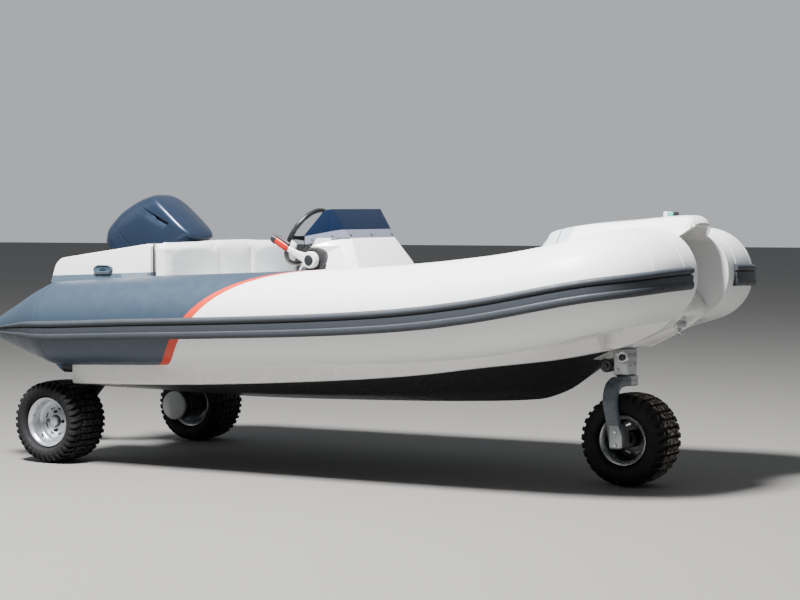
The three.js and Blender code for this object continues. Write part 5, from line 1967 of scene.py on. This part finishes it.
# %% Crease
CREASE_POINT, CREASE_SLOPE, CREASE_DEPTH, CREASE_REACH = (-0.157, 0, 0.495), 0.25, 0.014, 0.048
CREASE_START, CREASE_FULL, CREASE_STOP = -0.30, -0.17, -0.064
cowl = link("cowl_shell", loft("cowl_shell", rings))
crease_normal = Vector((-CREASE_SLOPE, 0, 1)).normalized()
for rise in (0, -0.0015, -0.010, -0.020, -0.034, -CREASE_REACH):
    split_by_plane(cowl, Vector(CREASE_POINT) + crease_normal * rise, crease_normal)
for x in (CREASE_STOP, CREASE_STOP + 0.004):
    split_by_plane(cowl, Vector((x, 0, 0)), Vector((1, 0, 0)))
for vertex in cowl.data.vertices:
    co = vertex.co
    under = -(co - Vector(CREASE_POINT)).dot(crease_normal)
    if 0.001 < under < CREASE_REACH and co.x < CREASE_STOP + 0.001:
        fade = min(max((co.x - CREASE_START) / (CREASE_FULL - CREASE_START), 0), 1)
        depth = CREASE_DEPTH * fade * (1 - under / CREASE_REACH)
        co.y -= math.copysign(min(depth, abs(co.y)), co.y)
print("crease", CREASE_DEPTH, "m deep")

# %% [markdown]
# A vent is cut into each side just under the crease, and a black sheet stands in the cut as
# painted shade for the dark opening.
# The pan closes the cowl from below.

# %% Vents and pan
VENT_START, VENT_LOW, VENT_HIGH = -0.150, -0.020, -0.001
PAN = [(0.0903, -0.300, -0.010, 0.100), (0.106, -0.338, 0.050, 0.132),
       (0.1297, -0.365, 0.110, 0.146)]


def crease_height(x, rise):
    """A height on the cowl's side, so far off the crease."""
    return CREASE_POINT[2] + CREASE_SLOPE * (x - CREASE_POINT[0]) + rise


vent_side = [(x, crease_height(x, rise))
             for x, rise in ((VENT_START, VENT_LOW), (CREASE_STOP, VENT_LOW),
                             (CREASE_STOP, VENT_HIGH), (VENT_START, VENT_HIGH))]


def vent_bodies(near, far):
    """A soft-cornered block on each side, between two distances from the middle."""
    return [loft("vent", [[Vector((x, side * y, z)) for x, z in rounded(vent_side, 0.004, 3)]
                          for y in (near, far)]) for side in (-1, 1)]


carve(cowl, joined("vents", *vent_bodies(0.118, 0.20)))
cowl.data.transform(MOTOR)
complete(cowl, [COWL_BLUE], "cowl", ("cowl",), math.radians(24))
vent_shade_sheet = joined("cowl_vents", *vent_bodies(0.1175, 0.1245))
vent_shade_sheet.transform(MOTOR)
piece("cowl_vents", vent_shade_sheet, BLACK_PLASTIC, "cowl")
heights = np.linspace(0.0903, 0.1297, 10)
pan = loft("pan_shell",
           [rounded_ring(z, *row) for z, row in zip(heights, smooth_through(PAN, heights))])
pan.transform(MOTOR)
complete(bevel(link("pan_shell", pan), 0.003, 2, 40), [LEG_SLATE], "motor_pan", ("motor_pan",))
print("cowl faces", len(cowl.data.polygons))

# %% [markdown]
# The leg, strut and skeg share one streamlined outline, sharp at both ends and thickest a
# third of the way back. The propeller's blades are lens-shaped sections whose pitch eases
# from the hub to the tip.

# %% Motor leg
PROP_AXIS, PROP_X = -0.640, -0.368
LEG_ROWS = [(-0.500, 0.105, 0.225, 0.026), (-0.300, 0.104, 0.228, 0.040),
            (0.090, 0.104, 0.240, 0.060)]


def foil_body(name, rows, count=14, steps=20):
    """A streamlined body: rows of height, nose and tail aft of the pin, and half breadth."""
    heights = np.linspace(rows[0][0], rows[-1][0], count)
    order = sorted(rows)
    rings = []
    for z, (nose, tail, half) in zip(heights, smooth_through(order, heights)):
        upper = []
        for k in range(steps + 1):
            part = 0.5 - 0.5 * math.cos(math.pi * k / steps)
            bulge = 2.6 * (math.sqrt(part) * 0.62 - part * 0.26 - 0.36 * part ** 3)
            upper.append((-(nose + (tail - nose) * part), half * max(bulge, 0.03)))
        lower = [(x, -y) for x, y in reversed(upper)]
        rings.append([Vector((x, y, z)) for x, y in upper + lower])
    return loft(name, rings)


def motor_piece(name, node, material, *meshes, bodies=()):
    """Meshes made in the upright motor's frame, tilted and finished as one piece."""
    whole = joined(name, *meshes)
    whole.transform(MOTOR)
    return piece(name, whole, material, node, *bodies)


pin = rod("king_pin", (-0.062, 0, -0.330), (-0.062, 0, 0.060), 0.018)
upper_arm = soft_block("upper_arm", (-0.240, -0.045, 0.046), (-0.028, 0.045, 0.074), 0.006)
lower_arm = soft_block("lower_arm", (-0.200, -0.034, -0.336), (-0.032, 0.034, -0.306), 0.006)
motor_piece("leg_housing", "motor_leg", COWL_BLUE, foil_body("leg", LEG_ROWS), upper_arm, lower_arm,
            bodies=("motor_leg",))
motor_piece("king_pin", "motor_leg", STAINLESS, pin)
print("leg from", LEG_ROWS[0][0], "to", LEG_ROWS[-1][0], "m")

# %% [markdown]
# The gearcase is the strut and the skeg with a turned torpedo between them, a flat plate
# that keeps air from the propeller, and an intake grille on its sides.

# %% Gearcase
STRUT_ROWS = [(-0.640, 0.110, 0.262, 0.020), (-0.5003, 0.100, 0.240, 0.027)]
SKEG_ROWS = [(-0.660, 0.130, 0.260, 0.008), (-0.700, 0.152, 0.268, 0.007),
             (-0.735, 0.178, 0.274, 0.0055), (-0.750, 0.205, 0.275, 0.003)]
TORPEDO = [(0.0001, 0.0), (0.010, 0.004), (0.022, 0.018), (0.032, 0.036), (0.039, 0.058),
           (0.044, 0.100), (0.044, 0.190), (0.041, 0.225), (0.036, 0.2495), (0.0001, 0.2495)]
FIN = [(-0.095, -0.020), (-0.095, 0.020), (-0.230, 0.085), (-0.400, 0.085), (-0.400, -0.085),
       (-0.230, -0.085)]
fin = loft("fin", [[Vector((*point, z)) for point in rounded(FIN, 0.018, 5)]
                   for z in (-0.506, -0.5003)])
torpedo = revolve("torpedo", [(r, -0.080 - along) for r, along in TORPEDO], (0, 0, PROP_AXIS), "X",
                  48)
motor_piece("gearcase_body", "gearcase", COWL_BLUE, foil_body("strut", STRUT_ROWS), torpedo, fin,
            foil_body("skeg", SKEG_ROWS), bodies=("gearcase",))
intake = [soft_block("intake", (-0.175 - 0.014 * k, -0.0262, -0.600),
                     (-0.168 - 0.014 * k, 0.0262, -0.560), 0.002) for k in range(4)]
motor_piece("intake_grille", "gearcase", BLACK_PLASTIC, *intake)
print("gearcase on axis", PROP_AXIS, "m")

# %% [markdown]
# Three blades stand round the hub. Each is a loft of lens-shaped sections, turned to its
# place about the shaft.

# %% Propeller
BLADE = [  # radius, half chord, pitch in radians, half thickness
    (0.020, 0.019, 0.95, 0.0045), (0.050, 0.034, 0.80, 0.0038), (0.080, 0.042, 0.66, 0.0028),
    (0.105, 0.038, 0.55, 0.0021), (0.118, 0.026, 0.50, 0.0017), (0.1245, 0.010, 0.47, 0.0012)]
blades = []
radii = np.linspace(BLADE[0][0], BLADE[-1][0], 14)
for degrees in (90, 210, 330):
    rings = []
    for r, (half, pitch_angle, thick) in zip(radii, smooth_through(BLADE, radii)):
        chord = [k / 6 - 1 for k in range(13)]
        lens_outline = [(a * half, thick * (1.08 - a * a)) for a in chord]
        lens_outline += [(a, -b) for a, b in reversed(lens_outline)]
        ahead, across = math.sin(pitch_angle), math.cos(pitch_angle)
        rings.append([Vector((PROP_X + a * ahead - b * across, a * across + b * ahead, r))
                      for a, b in lens_outline])
    blade = loft("blade", rings)
    blade.transform(Matrix.Translation((0, 0, PROP_AXIS))
                    @ Matrix.Rotation(math.radians(degrees), 4, "X"))
    blades.append(blade)
prop_hub = revolve("prop_hub", [(0.0001, -0.3304), (0.031, -0.3304), (0.032, -0.333),
                                (0.027, -0.396), (0.024, -0.4035), (0.016, -0.405),
                                (0.0001, -0.405)], (0, 0, PROP_AXIS), "X", 48)
PROP_BLACK = paint_finish("propeller paint", (0.018, 0.019, 0.021), coat=0.5)
motor_piece("propeller_turned", "propeller", PROP_BLACK, prop_hub, *blades, bodies=("propeller",))
print("propeller blades", len(blades))

# %% [markdown]
# The clamp bracket holds the motor to the transom, and the swivel bracket turns on the tilt
# pin. Both start from their solids, and only their nuts and bolts are added.

# %% Brackets and bolts
dress("clamp_bracket", LEG_SLATE, 0.004, 3)
dress("swivel_bracket", LEG_SLATE, 0.003, 3)
copies_on("tilt_pin_nuts", hex_nut(0.017, 0.010),
          [(TILT_PIN + Vector((0, side * 0.1005, 0)), (0, side, 0)) for _, side in SIDES],
          STAINLESS, "clamp_bracket")
TRANSOM_FACE = from_axle(0.0965)
copies_on("transom_bolts", hex_nut(0.010, 0.007), [((TRANSOM_FACE, side * 0.086, z), (-1, 0, 0))
                                                   for _, side in SIDES for z in (0.675, 0.765)],
          STAINLESS, "clamp_bracket")
